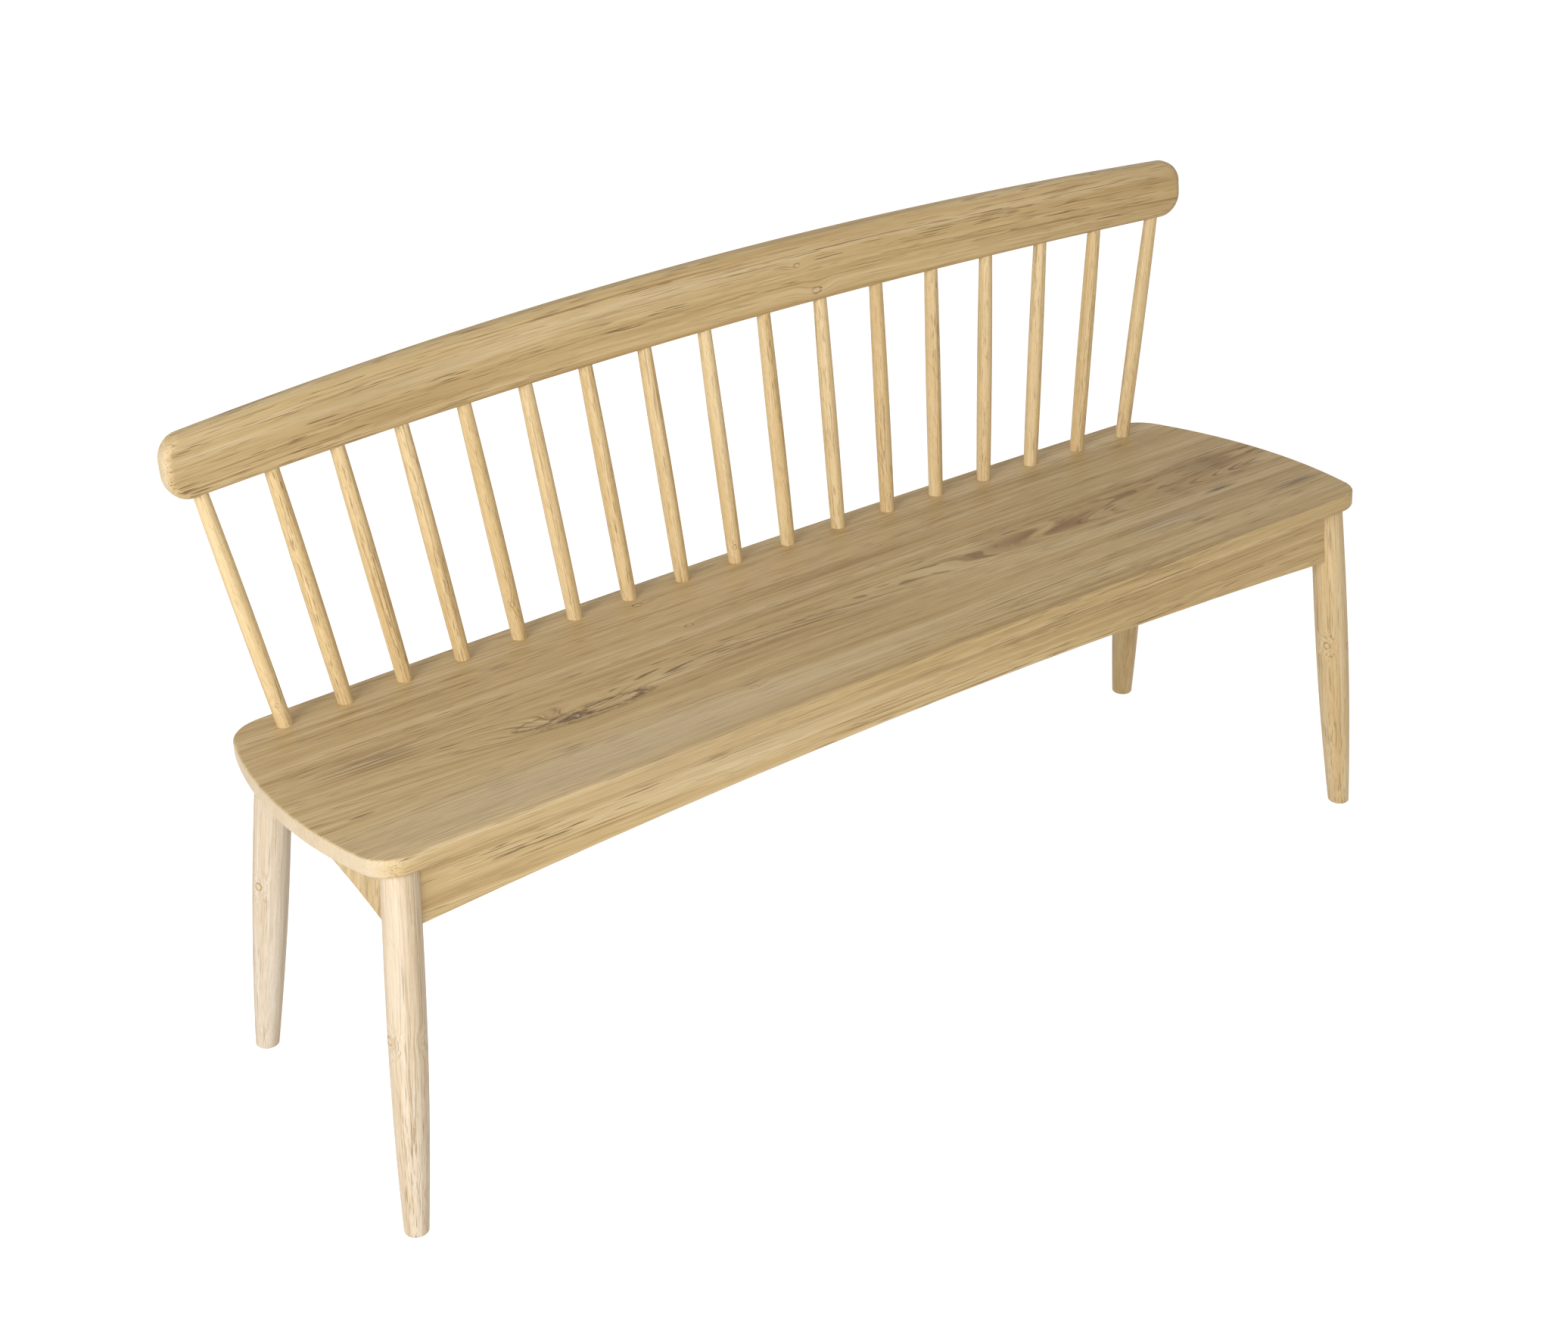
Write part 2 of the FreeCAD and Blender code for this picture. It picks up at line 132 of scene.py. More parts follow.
oakFinish = {
    "shade": paint(164, 134, 88),
    "body": paint(201, 174, 125),
    "light": paint(225, 205, 168),
    "line": paint(139, 108, 64),
    "pore": paint(101, 75, 43),
    "knotRim": paint(98, 68, 38),
    "knotHeart": paint(214, 188, 146),
    "endWood": paint(208, 191, 163),
    "bandTone": 0.46,
    "streakTone": 0.66,
    "streakCells": (1.5, 72.0, 72.0),
    "fibreTone": 0.42,
    "fibreCells": (14.0, 1000.0, 1000.0),
    "ringTone": 0.025,
    "ringPitch": 0.0105,
    "waviness": 0.016,
    "lineStrength": 0.70,
    "lineCells": (4.5, 430.0, 430.0),
    "poreStrength": 0.78,
    "poreCells": (20.0, 760.0, 760.0),
    "fleckStrength": 0.0,
    "fleckSlant": 0.22,
    "toneShift": 0.0,
    "endShare": 0.0,
    "bump": 0.00025,
}


def noiseAt(tree, place, cells, detail=2.0, roughness=0.5, lift=0.0):  # 0 to 1, so many cells a metre
    spot = vectorCalc(tree, "MULTIPLY_ADD", place, cells, (lift, lift * 0.7, lift * 1.3))
    node = addNode(tree, "ShaderNodeTexNoise", {"Vector": spot, "Scale": 1.0, "Detail": detail,
                                                "Roughness": roughness})
    return node.outputs["Fac"]


def fadeRound(tree, place, centre, reach):
    # 1 at the centre, falling to 0 at its reach, and how far away the place is
    away = vectorCalc(tree, "SUBTRACT", place, centre)
    away = vectorCalc(tree, "MULTIPLY", away, tuple(1 / r for r in reach))
    far = vectorCalc(tree, "LENGTH", away)
    fade = addNode(tree, "ShaderNodeMapRange", {"Value": far, "From Min": 0.0, "From Max": 1.0,
                                                "To Min": 1.0, "To Max": 0.0},
                   interpolation_type="SMOOTHSTEP")
    return fade.outputs[0], far


def between(tree, value, low, high, toLow=0.0, toHigh=1.0):
    node = addNode(tree, "ShaderNodeMapRange", {"Value": value, "From Min": low, "From Max": high,
                                                "To Min": toLow, "To Max": toHigh})
    return node.outputs[0]


def tint(tree, share, below, above):
    node = addNode(tree, "ShaderNodeMix", data_type="RGBA", clamp_factor=True)
    feed(tree, node.inputs[0], share)
    feed(tree, node.inputs[6], below)
    feed(tree, node.inputs[7], above)
    return node.outputs[2]


def streakRows(level, depth, rows):
    # a row: place, reach, strength, colour, cells a metre, noise where it starts and where it is full
    return [{"at": (*at, level), "reach": (*reach, depth), "strength": strength, "colour": paint(*colour),
             "cells": (cells[0], cells[1], cells[1]), "low": low, "high": high}
            for at, reach, strength, colour, cells, low, high in rows]


def stained(tree, place, lined, patch, colour):  # streaks of another colour within reach of a place
    fade = fadeRound(tree, place, patch["at"], patch["reach"])[0]
    streaks = noiseAt(tree, lined, patch["cells"], 4.0, 0.62, lift=patch["at"][0] * 7)
    streaks = between(tree, streaks, patch["low"], patch["high"])
    share = times(tree, times(tree, fade, streaks), patch["strength"])
    return tint(tree, share, colour, patch["colour"])


def oakMaterial(name, turn=None, knots=(), stainsAndShade=(), marks=(), crown=None, **changes):
    # pieces made here carry the grain attribute; a CAD board's own coordinates are turned instead
    look = {**oakFinish, **changes}
    material, tree = newMaterial(name)
    if turn is None:
        place = addNode(tree, "ShaderNodeAttribute", attribute_name="grain").outputs["Vector"]
    else:
        spot = addNode(tree, "ShaderNodeTexCoord").outputs["Object"]
        place = addNode(tree, "ShaderNodeMapping", {"Vector": spot, "Rotation": turn["rotation"],
                                                    "Location": turn["location"]}).outputs[0]
    u, v, w = splitXyz(tree, place)

    # growth layers, bent by slow noise, by the crown of the board and round each knot
    bend = noiseAt(tree, place, (1.6, 7.0, 7.0), 2.0)
    layers = timesPlus(tree, bend, look["waviness"], timesPlus(tree, w, 0.35, v))
    if crown:
        near = over(tree, minus(tree, v, crown["line"]), crown["reach"])
        hill = calc(tree, "EXPONENT", times(tree, times(tree, near, near), -1.0))
        slope = times(tree, minus(tree, u, crown["start"]), crown["slope"])
        layers = timesPlus(tree, hill, slope, layers)
    knotRims, knotHearts = [], []
    for knot in knots:
        flow, far = fadeRound(tree, place, knot["at"], tuple(r * 4.5 for r in knot["reach"]))
        layers = timesPlus(tree, flow, knot.get("push", 1.6) * knot["reach"][1], layers)
        raggedness = knot.get("ragged", 0.7)
        edge = timesPlus(tree, noiseAt(tree, place, (160, 420, 420), 3.0), raggedness, -raggedness / 2)
        far = timesPlus(tree, far, 4.5, edge)
        ring = calc(tree, "ABSOLUTE", minus(tree, far, 0.80))
        broken = between(tree, noiseAt(tree, place, (90, 200, 200), 1.0, lift=4.4), 0.36, 0.56, 0.15, 1.0)
        rim = times(tree, times(tree, between(tree, ring, knot.get("line", 0.30), 0.06), broken),
                   knot.get("rim", 0.8))
        knotRims.append(rim)
        heart = times(tree, between(tree, far, 0.85, 0.45), knot.get("heart", 0.8))
        knotHearts.append((heart, knot.get("fill", look["knotHeart"])))
    early = calc(tree, "SINE", times(tree, layers, 2 * math.pi / look["ringPitch"]))
    lined = joinXyz(tree, u, layers, w)

    # tone from broad bands, streaks and fibres
    band = noiseAt(tree, lined, (1.1, 26.0, 26.0), 3.0, lift=3.1)
    streak = noiseAt(tree, lined, look["streakCells"], 7.0, 0.62, lift=7.7)
    fibre = noiseAt(tree, lined, look["fibreCells"], 2.0, lift=1.9)
    tone = 0.5 + look["toneShift"]
    for part, middle, amount in ((band, 0.5, "bandTone"), (streak, 0.5, "streakTone"),
                                 (fibre, 0.5, "fibreTone"), (early, 0.0, "ringTone")):
        tone = timesPlus(tree, minus(tree, part, middle), look[amount], tone)
    ramp = addNode(tree, "ShaderNodeValToRGB", {"Fac": tone})
    stops = ramp.color_ramp.elements
    stops[0].position, stops[0].color = 0.22, look["shade"]
    stops[1].position, stops[1].color = 0.80, look["light"]
    middle = stops.new(0.5)
    middle.color = look["body"]
    colour = ramp.outputs[0]

    # thin dark lines and short pores, crowded in the early wood of some layers
    patchy = noiseAt(tree, lined, (2.0, 46.0, 46.0), 2.0, lift=9.4)
    crowd = between(tree, timesPlus(tree, early, 0.09, patchy), 0.38, 0.62)
    line = between(tree, noiseAt(tree, lined, look["lineCells"], 2.0, 0.6, lift=11.3), 0.57, 0.64)
    line = times(tree, line, timesPlus(tree, crowd, 0.75, 0.25))
    colour = tint(tree, times(tree, line, look["lineStrength"]), colour, look["line"])
    dash = between(tree, noiseAt(tree, lined, look["poreCells"], 1.0, lift=5.3), 0.59, 0.66)
    pores = times(tree, dash, timesPlus(tree, crowd, 0.85, 0.15))
    colour = tint(tree, times(tree, pores, look["poreStrength"]), colour, look["pore"])
    if look["fleckStrength"]:   # short pale and dark flecks across a turned piece's grain lines
        slanted = joinXyz(tree, u, timesPlus(tree, u, look["fleckSlant"], v),
                          timesPlus(tree, u, -look["fleckSlant"], w))
        fleck = noiseAt(tree, slanted, (60.0, 620.0, 620.0), 2.0, 0.6, lift=2.7)
        pale = times(tree, between(tree, fleck, 0.56, 0.68), look["fleckStrength"])
        dark = times(tree, between(tree, fleck, 0.43, 0.33), look["fleckStrength"])
        colour = tint(tree, pale, colour, look["light"])
        colour = tint(tree, dark, colour, look["shade"])

    # darker streaked patches, some of them partly painted shade on the side away from the key light, and
    # knots
    for patch in stainsAndShade:
        colour = stained(tree, place, lined, patch, colour)
    for heart, fill in knotHearts:
        colour = tint(tree, heart, colour, fill)
    for rim in knotRims:
        colour = tint(tree, rim, colour, look["knotRim"])
    for mark in marks:
        colour = stained(tree, place, lined, mark, colour)
    if look["endShare"]:        # paler wood where the ends of the fibres show
        facing = splitXyz(tree, addNode(tree, "ShaderNodeTexCoord").outputs["Normal"])[0]
        ends = between(tree, calc(tree, "ABSOLUTE", facing), 0.45, 0.90)
        cut = between(tree, noiseAt(tree, place, (60.0, 190.0, 70.0), 3.0, lift=6.1), 0.35, 0.65, 0.72, 1.0)
        share = times(tree, times(tree, ends, cut), look["endShare"])
        colour = tint(tree, share, colour, look["endWood"])

    # the relief left by pores and fibres under a satin lacquer
    height = timesPlus(tree, pores, -1.0, times(tree, fibre, 0.35))
    bump = addNode(tree, "ShaderNodeBump", {"Height": height, "Strength": 0.5, "Distance": look["bump"]})
    rough = between(tree, tone, 0.2, 0.9, 0.60, 0.46)
    finishMaterial(tree, {"Base Color": colour, "Roughness": rough, "Normal": bump.outputs[0],
                          "Specular IOR Level": 0.4})
    return material


def steelMaterial(name, look):
    material, tree = newMaterial(name)
    spot = addNode(tree, "ShaderNodeTexCoord").outputs["Object"]
    cloud = noiseAt(tree, spot, (260.0, 260.0, 260.0), 3.0)
    scratch = noiseAt(tree, spot, (3000.0, 300.0, 900.0), 2.0, lift=2.2)
    colour = tint(tree, between(tree, cloud, 0.35, 0.65), look["dull"], look["bright"])
    rough = timesPlus(tree, scratch, 0.22, 0.24)
    bump = addNode(tree, "ShaderNodeBump", {"Height": scratch, "Strength": 0.25, "Distance": 0.00004})
    finishMaterial(tree, {"Base Color": colour, "Roughness": rough, "Normal": bump.outputs[0],
                          "Metallic": 1.0})
    return material


# Small helpers for pieces

def meshObject(name, points, faces):
    mesh = bpy.data.meshes.new(name)
    mesh.from_pydata([tuple(p) for p in points], [], faces)
    mesh.update()
    piece = bpy.data.objects.new(name, mesh)
    bpy.context.scene.collection.objects.link(piece)
    return piece


def closedShape(name, points, faces):
    piece = meshObject(name, points, faces)
    tidyNormals(piece)
    return piece


def tidyNormals(piece):
    shell = bmesh.new()
    shell.from_mesh(piece.data)
    bmesh.ops.remove_doubles(shell, verts=shell.verts, dist=0.000005)
    bmesh.ops.recalc_face_normals(shell, faces=shell.faces)
    shell.to_mesh(piece.data)
    shell.free()


def nodeTree(name, sizes):
    # a new Geometry Nodes tree with one named input for each size; returns the tree and its inputs
    kinds = {int: "NodeSocketInt", float: "NodeSocketFloat", tuple: "NodeSocketVector"}
    tree = bpy.data.node_groups.new(name, "GeometryNodeTree")
    tree.interface.new_socket("Geometry", in_out="INPUT", socket_type="NodeSocketGeometry")
    for label, value in sizes.items():
        kind = "NodeSocketObject" if isinstance(value, bpy.types.Object) else kinds[type(value)]
        tree.interface.new_socket(label, in_out="INPUT", socket_type=kind)
    tree.interface.new_socket("Geometry", in_out="OUTPUT", socket_type="NodeSocketGeometry")
    return tree, tree.nodes.new("NodeGroupInput").outputs


def endTree(tree, geometry, material):
    real = addNode(tree, "GeometryNodeRealizeInstances", {"Geometry": geometry}).outputs[0]
    smooth = addNode(tree, "GeometryNodeSetShadeSmooth", {"Geometry": real}).outputs[0]
    dressed = addNode(tree, "GeometryNodeSetMaterial", {"Geometry": smooth, "Material": material})
    output = tree.nodes.new("NodeGroupOutput")
    tree.links.new(dressed.outputs[0], output.inputs["Geometry"])


def runTree(piece, tree, sizes):
    # evaluates the tree on a piece and returns the result as a plain mesh object of the same name
    modifier = piece.modifiers.new(tree.name, "NODES")
    modifier.node_group = tree
    keys = {item.name: item.identifier for item in tree.interface.items_tree if item.in_out == "INPUT"}
    for label, value in sizes.items():
        modifier[keys[label]] = value
    graph = bpy.context.evaluated_depsgraph_get()
    mesh = bpy.data.meshes.new_from_object(piece.evaluated_get(graph), preserve_all_data_layers=True,
                                           depsgraph=graph)
    name = piece.name
    bpy.data.objects.remove(piece)
    mesh.name = name
    result = bpy.data.objects.new(name, mesh)
    bpy.context.scene.collection.objects.link(result)
    return result


def pointPlace(tree):
    return addNode(tree, "GeometryNodeInputPosition").outputs[0]


def moved(tree, geometry, place):
    return addNode(tree, "GeometryNodeSetPosition", {"Geometry": geometry, "Position": place}).outputs[0]


def readAttribute(tree, name, kind="FLOAT_VECTOR"):
    return addNode(tree, "GeometryNodeInputNamedAttribute", {"Name": name}, data_type=kind).outputs[0]


def copiesOn(tree, points, shape, aim, scale=(1.0, 1.0, 1.0)):
    # a copy of the shape on each point, its Z turned to the aim
    facing = addNode(tree, "FunctionNodeAlignRotationToVector", {"Vector": aim}, axis="Z").outputs[0]
    return addNode(tree, "GeometryNodeInstanceOnPoints", {
        "Points": points, "Instance": shape, "Rotation": facing, "Scale": scale}).outputs[0]


def storeGrain(tree, geometry, vector):
    node = addNode(tree, "GeometryNodeStoreNamedAttribute", data_type="FLOAT_VECTOR", domain="POINT")
    node.inputs["Name"].default_value = "grain"
    feed(tree, node.inputs["Geometry"], geometry)
    feed(tree, node.inputs["Value"], vector)
    return node.outputs[0]


def swollenRadius(tree, rise, fullest, highSpan, lowEnd, swell, highEnd):
    # the radius of a turned piece, fullest at one height and falling to each end as a parabola
    away = minus(tree, rise, fullest)
    below = calc(tree, "LESS_THAN", away, 0.0)
    ratio = over(tree, away, timesPlus(tree, below, minus(tree, fullest, highSpan), highSpan))
    end = timesPlus(tree, below, minus(tree, lowEnd, highEnd), highEnd)
    fall = times(tree, minus(tree, swell, end), times(tree, ratio, ratio))
    return times(tree, minus(tree, swell, fall), 0.5)


def finishPiece(piece, slot, *nodes):
    piece.data.transform(Matrix.Translation((0, slideBack, 0)))
    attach(piece, "root")
    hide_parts(*nodes)
    corners = [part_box(node) for node in nodes]
    low = np.min([c[0] for c in corners], axis=0)
    high = np.max([c[1] for c in corners], axis=0)
    places = np.array([p.co for p in piece.data.vertices])
    first, last = places.min(0), places.max(0)
    drift = max(np.abs(first - low).max(), np.abs(last - high).max())
    newFirst, newLast = np.maximum(first, low), np.minimum(last, high)     # inside the CAD node's own box
    places = newFirst + (places - first) * (newLast - newFirst) / (last - first)
    piece.data.vertices.foreach_set("co", places.ravel())
    piece.data.update()
    print("made", piece.name, len(piece.data.polygons), "faces, box within", round(drift * 1000, 2), "mm")


# Boards with a convex outline: sides are lines and arcs in the board's own plane, corners are rounded

def sideGap(side, point):
    # how far a point lies inside one side of an outline
    if "radius" in side:
        return side["radius"] - math.hypot(point[0] - side["centre"][0], point[1] - side["centre"][1])
    away = (point[0] - side["point"][0], point[1] - side["point"][1])
    return away[0] * side["inward"][0] + away[1] * side["inward"][1]


def cornerCentre(first, second, radius, guess):
    # the centre of the arc that rounds the corner between two sides
    p = list(guess)
    for _ in range(30):
        gaps = [sideGap(first, p) - radius, sideGap(second, p) - radius]
        grid = []
        for side, gap in ((first, gaps[0]), (second, gaps[1])):
            step = 1e-6
            grid.append([(sideGap(side, (p[0] + step, p[1])) - radius - gap) / step,
                         (sideGap(side, (p[0], p[1] + step)) - radius - gap) / step])
        move = np.linalg.solve(np.array(grid), -np.array(gaps))
        p = [p[0] + float(move[0]), p[1] + float(move[1])]
    return p


def touchPoint(side, centre):
    # where a rounding arc with that centre meets a side
    if "radius" in side:
        out = (Vector(centre) - Vector(side["centre"])).normalized()
        return Vector(side["centre"]) + out * side["radius"]
    return Vector(centre) - Vector(side["inward"]) * sideGap(side, centre)


def sampleSide(side, start, finish, count):
    points = []
    for k in range(count + 1):
        share = k / count
        if "radius" in side:
            hub = Vector(side["centre"])
            a, b = start - hub, finish - hub
            turn = math.atan2(a.x * b.y - a.y * b.x, a.dot(b)) * share
            out = Vector((a.x * math.cos(turn) - a.y * math.sin(turn),
                          a.x * math.sin(turn) + a.y * math.cos(turn))).normalized()
            points.append((hub + out * side["radius"], out))
        else:
            points.append((start.lerp(finish, share), -Vector(side["inward"])))
    return points


def halfOutline(sides, radii, guesses, top, bottom):
    # points of the right half of an outline, from the middle of its upper side round to its lower one
    path = []
    start = top
    for number, (radius, guess) in enumerate(zip(radii, guesses)):
        centre = cornerCentre(sides[number], sides[number + 1], radius, guess)
        meet = touchPoint(sides[number], centre)
        path += sampleSide(sides[number], start, meet, 90)
        leave = touchPoint(sides[number + 1], centre)
        path += sampleSide({"centre": tuple(centre), "radius": radius}, meet, leave, 40)
        start = leave
    path += sampleSide(sides[-1], start, bottom, 90)
    return path


def board(name, path, columns, rows, thickness, topEase, bottomEase, split, steps=7):
    # a board with that outline, lying flat with its top at 0, its edges rounded above and below
    places = np.array([[p.x, p.y] for p, out in path])
    outs = np.array([[out.x, out.y] for p, out in path])
    runs = np.concatenate([[0], np.cumsum(np.hypot(*np.diff(places, axis=0).T))])
    keep = np.concatenate([[True], np.diff(runs) > 1e-9])
    places, outs, runs = places[keep], outs[keep], runs[keep]
    turnAt = np.interp(-split, -places[:, 1], runs)
    half = places[:, 0].max()

    def side(low, high):
        # ring points of one side, placed by x so that the two sides face each other
        chosen = (runs >= low - 1e-12) & (runs <= high + 1e-12)
        xs, at = places[chosen, 0], runs[chosen]
        order = np.argsort(xs, kind="stable")
        wanted = half * np.sin(np.linspace(0, math.pi / 2, columns + 1))
        return np.interp(wanted, xs[order], at[order])

    gap = 0.004         # half of the straight run left at each end
    upper = side(0, turnAt - gap)
    lower = side(turnAt + gap, runs[-1])
    upper[-1], lower[-1] = turnAt - gap, turnAt + gap

    def ringAt(spots):
        px = np.interp(spots, runs, places[:, 0])
        py = np.interp(spots, runs, places[:, 1])
        ox = np.interp(spots, runs, outs[:, 0])
        oy = np.interp(spots, runs, outs[:, 1])
        size = np.hypot(ox, oy)
        return np.stack([px, py], 1), np.stack([ox / size, oy / size], 1)

    upP, upN = ringAt(upper)
    loP, loN = ringAt(lower)
    flip = np.array([-1.0, 1.0])
    upPoint = np.concatenate([(upP * flip)[:0:-1], upP])       # left to right along the upper side
    upOut = np.concatenate([(upN * flip)[:0:-1], upN])
    loPoint = np.concatenate([(loP * flip)[:0:-1], loP])
    loOut = np.concatenate([(loN * flip)[:0:-1], loN])
    ring = np.concatenate([upPoint, loPoint[::-1]])
    ringOut = np.concatenate([upOut, loOut[::-1]])
    count = len(upPoint)

    rim = 0.0004        # the flat just inside a rounded edge
    profile = [(topEase * 1.2 + rim, 0.0)]
    for k in range(steps + 1):
        turn = math.pi / 2 * k / steps
        profile.append((topEase * (1 - math.sin(turn)), -topEase * (1 - math.cos(turn))))
    for k in range(steps + 1):
        turn = math.pi / 2 * k / steps
        profile.append((bottomEase * (1 - math.cos(turn)), -thickness + bottomEase * (1 - math.sin(turn))))
    profile.append((bottomEase * 1.2 + rim, -thickness))

    points, faces = [], []
    for inset, level in profile:
        points += [(x, y, level) for x, y in ring - ringOut * inset]
    total = len(ring)
    for r in range(len(profile) - 1):
        for k in range(total):
            n = (k + 1) % total
            faces.append((r * total + k, (r + 1) * total + k, (r + 1) * total + n, r * total + n))
    for base, below in ((0, False), ((len(profile) - 1) * total, True)):
        grid = [[base + k for k in range(count)]]
        for row in range(1, rows):
            line = [None]
            for k in range(1, count - 1):
                line.append(len(points))
                near, far = Vector(points[base + k]), Vector(points[base + total - 1 - k])
                points.append(tuple(near.lerp(far, row / rows)))
            grid.append(line)
        grid.append([base + total - 1 - k for k in range(count)])
        caps = [(grid[row][k], grid[row][k + 1], grid[row + 1][k + 1], grid[row + 1][k])
                for row in range(rows) for k in range(1, count - 2)]
        for near, end in ((1, 0), (count - 2, count - 1)):      # triangles close each end
            first, last, column = grid[0][end], grid[rows][end], [line[near] for line in grid]
            middle = rows // 2
            caps += [(first, column[row], column[row + 1]) for row in range(middle)]
            caps.append((first, column[middle], last))
            caps += [(last, column[row], column[row + 1]) for row in range(middle, rows)]
        faces += [cap[::-1] if below else cap for cap in caps]
    return closedShape(name, points, faces)


# Seat board

seatSizes = {
    "length": 1.494,
    "depth": 0.4135,
    "height": 0.448,
    "thickness": 0.022,
    "slope": math.radians(4.94),
    "endRadius": 0.640,
    "widestForward": 0.052,
    "backBow": 0.015,
    "frontCorner": 0.041,
    "backCorner": 0.054,
    "topEase": 0.003,
    "bottomEase": 0.004,
}


def seatTopAt(y):
    return seatSizes["height"] - y * math.tan(seatSizes["slope"])


def seatUnderAt(y):
    return seatTopAt(y) - seatSizes["thickness"] / math.cos(seatSizes["slope"])


def makeSeat(material):
    s = seatSizes
    front, back = -s["depth"] / 2, s["depth"] / 2
    hub = (s["length"] / 2 - s["endRadius"], -s["widestForward"])
    end = {"centre": hub, "radius": s["endRadius"]}
    backEnd = back - s["backBow"]
    reach = hub[0] + math.sqrt(s["endRadius"] ** 2 - (backEnd - hub[1]) ** 2)
    bend = (reach ** 2 + s["backBow"] ** 2) / (2 * s["backBow"])
    rear = {"centre": (0.0, back - bend), "radius": bend}
    edge = {"point": (0.0, front), "inward": (0.0, 1.0)}
    guesses = [(reach - s["backCorner"], backEnd - s["backCorner"]), (0.69, front + s["frontCorner"])]
    path = halfOutline([rear, end, edge], [s["backCorner"], s["frontCorner"]], guesses,
                       Vector((0.0, back)), Vector((0.0, front)))
    seat = board("seatBoard", path, 130, 26, s["thickness"], s["topEase"], s["bottomEase"],
                 -s["widestForward"])
    tree, sizes = nodeTree("seatGrain", {"Slope": 0.0, "Height": 0.0})
    place = pointPlace(tree)
    shape = storeGrain(tree, sizes["Geometry"], place)
    x, y, z = splitXyz(tree, place)
    cosine, sine = calc(tree, "COSINE", sizes["Slope"]), calc(tree, "SINE", sizes["Slope"])
    tippedY = plus(tree, times(tree, y, cosine), times(tree, z, sine))
    tippedZ = minus(tree, times(tree, z, cosine), times(tree, y, sine))
    spot = joinXyz(tree, x, tippedY, plus(tree, tippedZ, sizes["Height"]))
    endTree(tree, moved(tree, shape, spot), material)
    seat = runTree(seat, tree, {"Slope": s["slope"], "Height": s["height"]})
    finishPiece(seat, "oak", "seat_board")


# Crest rail: a flat board with a crowned outline, stood up, bowed and leant by its node tree

backSizes = {
    "benchHeight": 0.811,
    "crestLength": 1.490,
    "crestHeight": 0.0855,
    "crestThickness": 0.025,
    "crestBow": 0.0577,
    "crestLean": math.radians(7.6),
    "topDrop": 0.0096,
    "bottomRise": 0.0035,
    "topCorner": 0.027,
    "bottomCorner": 0.032,
    "edgeRadius": 0.010,
    "backLean": math.radians(11.8),
    "rowInset": 0.0312,
    "rowBow": 0.0197,
}
crestUnder = backSizes["benchHeight"] - backSizes["crestHeight"]
crestBend = ((backSizes["crestLength"] / 2) ** 2 + backSizes["crestBow"] ** 2) / (2 * backSizes["crestBow"])
spindleRowBack = seatSizes["depth"] / 2 - backSizes["rowInset"]
crestRowBack = spindleRowBack + (crestUnder - seatTopAt(spindleRowBack)) * math.tan(backSizes["backLean"])


def makeCrest(material):
    s = backSizes
    half = s["crestLength"] / 2
    top, low = s["benchHeight"], crestUnder
    topBend = (half ** 2 + s["topDrop"] ** 2) / (2 * s["topDrop"])
    lowBend = (half ** 2 + s["bottomRise"] ** 2) / (2 * s["bottomRise"])
    upper = {"centre": (0.0, top - topBend), "radius": topBend}
    lower = {"centre": (0.0, low + lowBend), "radius": lowBend}
    end = {"point": (half, 0.0), "inward": (-1.0, 0.0)}
    guesses = [(half - s["topCorner"], top - s["topDrop"] - s["topCorner"]),
               (half - s["bottomCorner"], low + s["bottomRise"] + s["bottomCorner"])]
    path = halfOutline([upper, end, lower], [s["topCorner"], s["bottomCorner"]], guesses,
                       Vector((0.0, top)), Vector((0.0, low)))
    level = (top - s["topDrop"] - s["topCorner"] + low + s["bottomRise"] + s["bottomCorner"]) / 2
    crest = board("crestRail", path, 140, 10, s["crestThickness"], s["edgeRadius"], s["edgeRadius"],
                  level, steps=12)
    tree, sizes = nodeTree("crestBow", {"Bend": 0.0, "Lean": 0.0, "Row back": 0.0, "Underside": 0.0,
                                        "Half thickness": 0.0})
    x, z, depth = splitXyz(tree, pointPlace(tree))
    through = times(tree, plus(tree, depth, sizes["Half thickness"]), -1.0)
    along = times(tree, calc(tree, "ARCSINE", over(tree, x, sizes["Bend"])), sizes["Bend"])
    shape = storeGrain(tree, sizes["Geometry"], joinXyz(tree, along, z, through))
    radius = plus(tree, sizes["Bend"], through)
    arc = calc(tree, "SQRT", minus(tree, times(tree, radius, radius), times(tree, x, x)))
    rise = minus(tree, z, sizes["Underside"])
    lean = times(tree, rise, calc(tree, "TANGENT", sizes["Lean"]))
    y = plus(tree, minus(tree, arc, sizes["Bend"]), plus(tree, sizes["Row back"], lean))
    endTree(tree, moved(tree, shape, joinXyz(tree, x, y, z)), material)
    crest = runTree(crest, tree, {"Bend": crestBend, "Lean": s["crestLean"], "Row back": crestRowBack,
                                  "Underside": crestUnder, "Half thickness": s["crestThickness"] / 2})
    tidyNormals(crest)
    finishPiece(crest, "oak", "crest_rail")


# Spindles: one turned stick, set along the bowed row on the seat and aimed at the crest rail

spindleSizes = {
    "Count": 17,
    "Seat pitch": 0.08065,
    "Seat middle extra": 0.0019,
    "Crest pitch": 0.0869,
    "Crest middle extra": 0.0029,
    "End extra fan": 0.0045,
    "Seat diameter": 0.0186,
    "Swell diameter": 0.0198,
    "Crest diameter": 0.0173,
    "Swell share": 0.42,
    "Into seat": 0.0149,
    "Into crest": 0.0239,
}


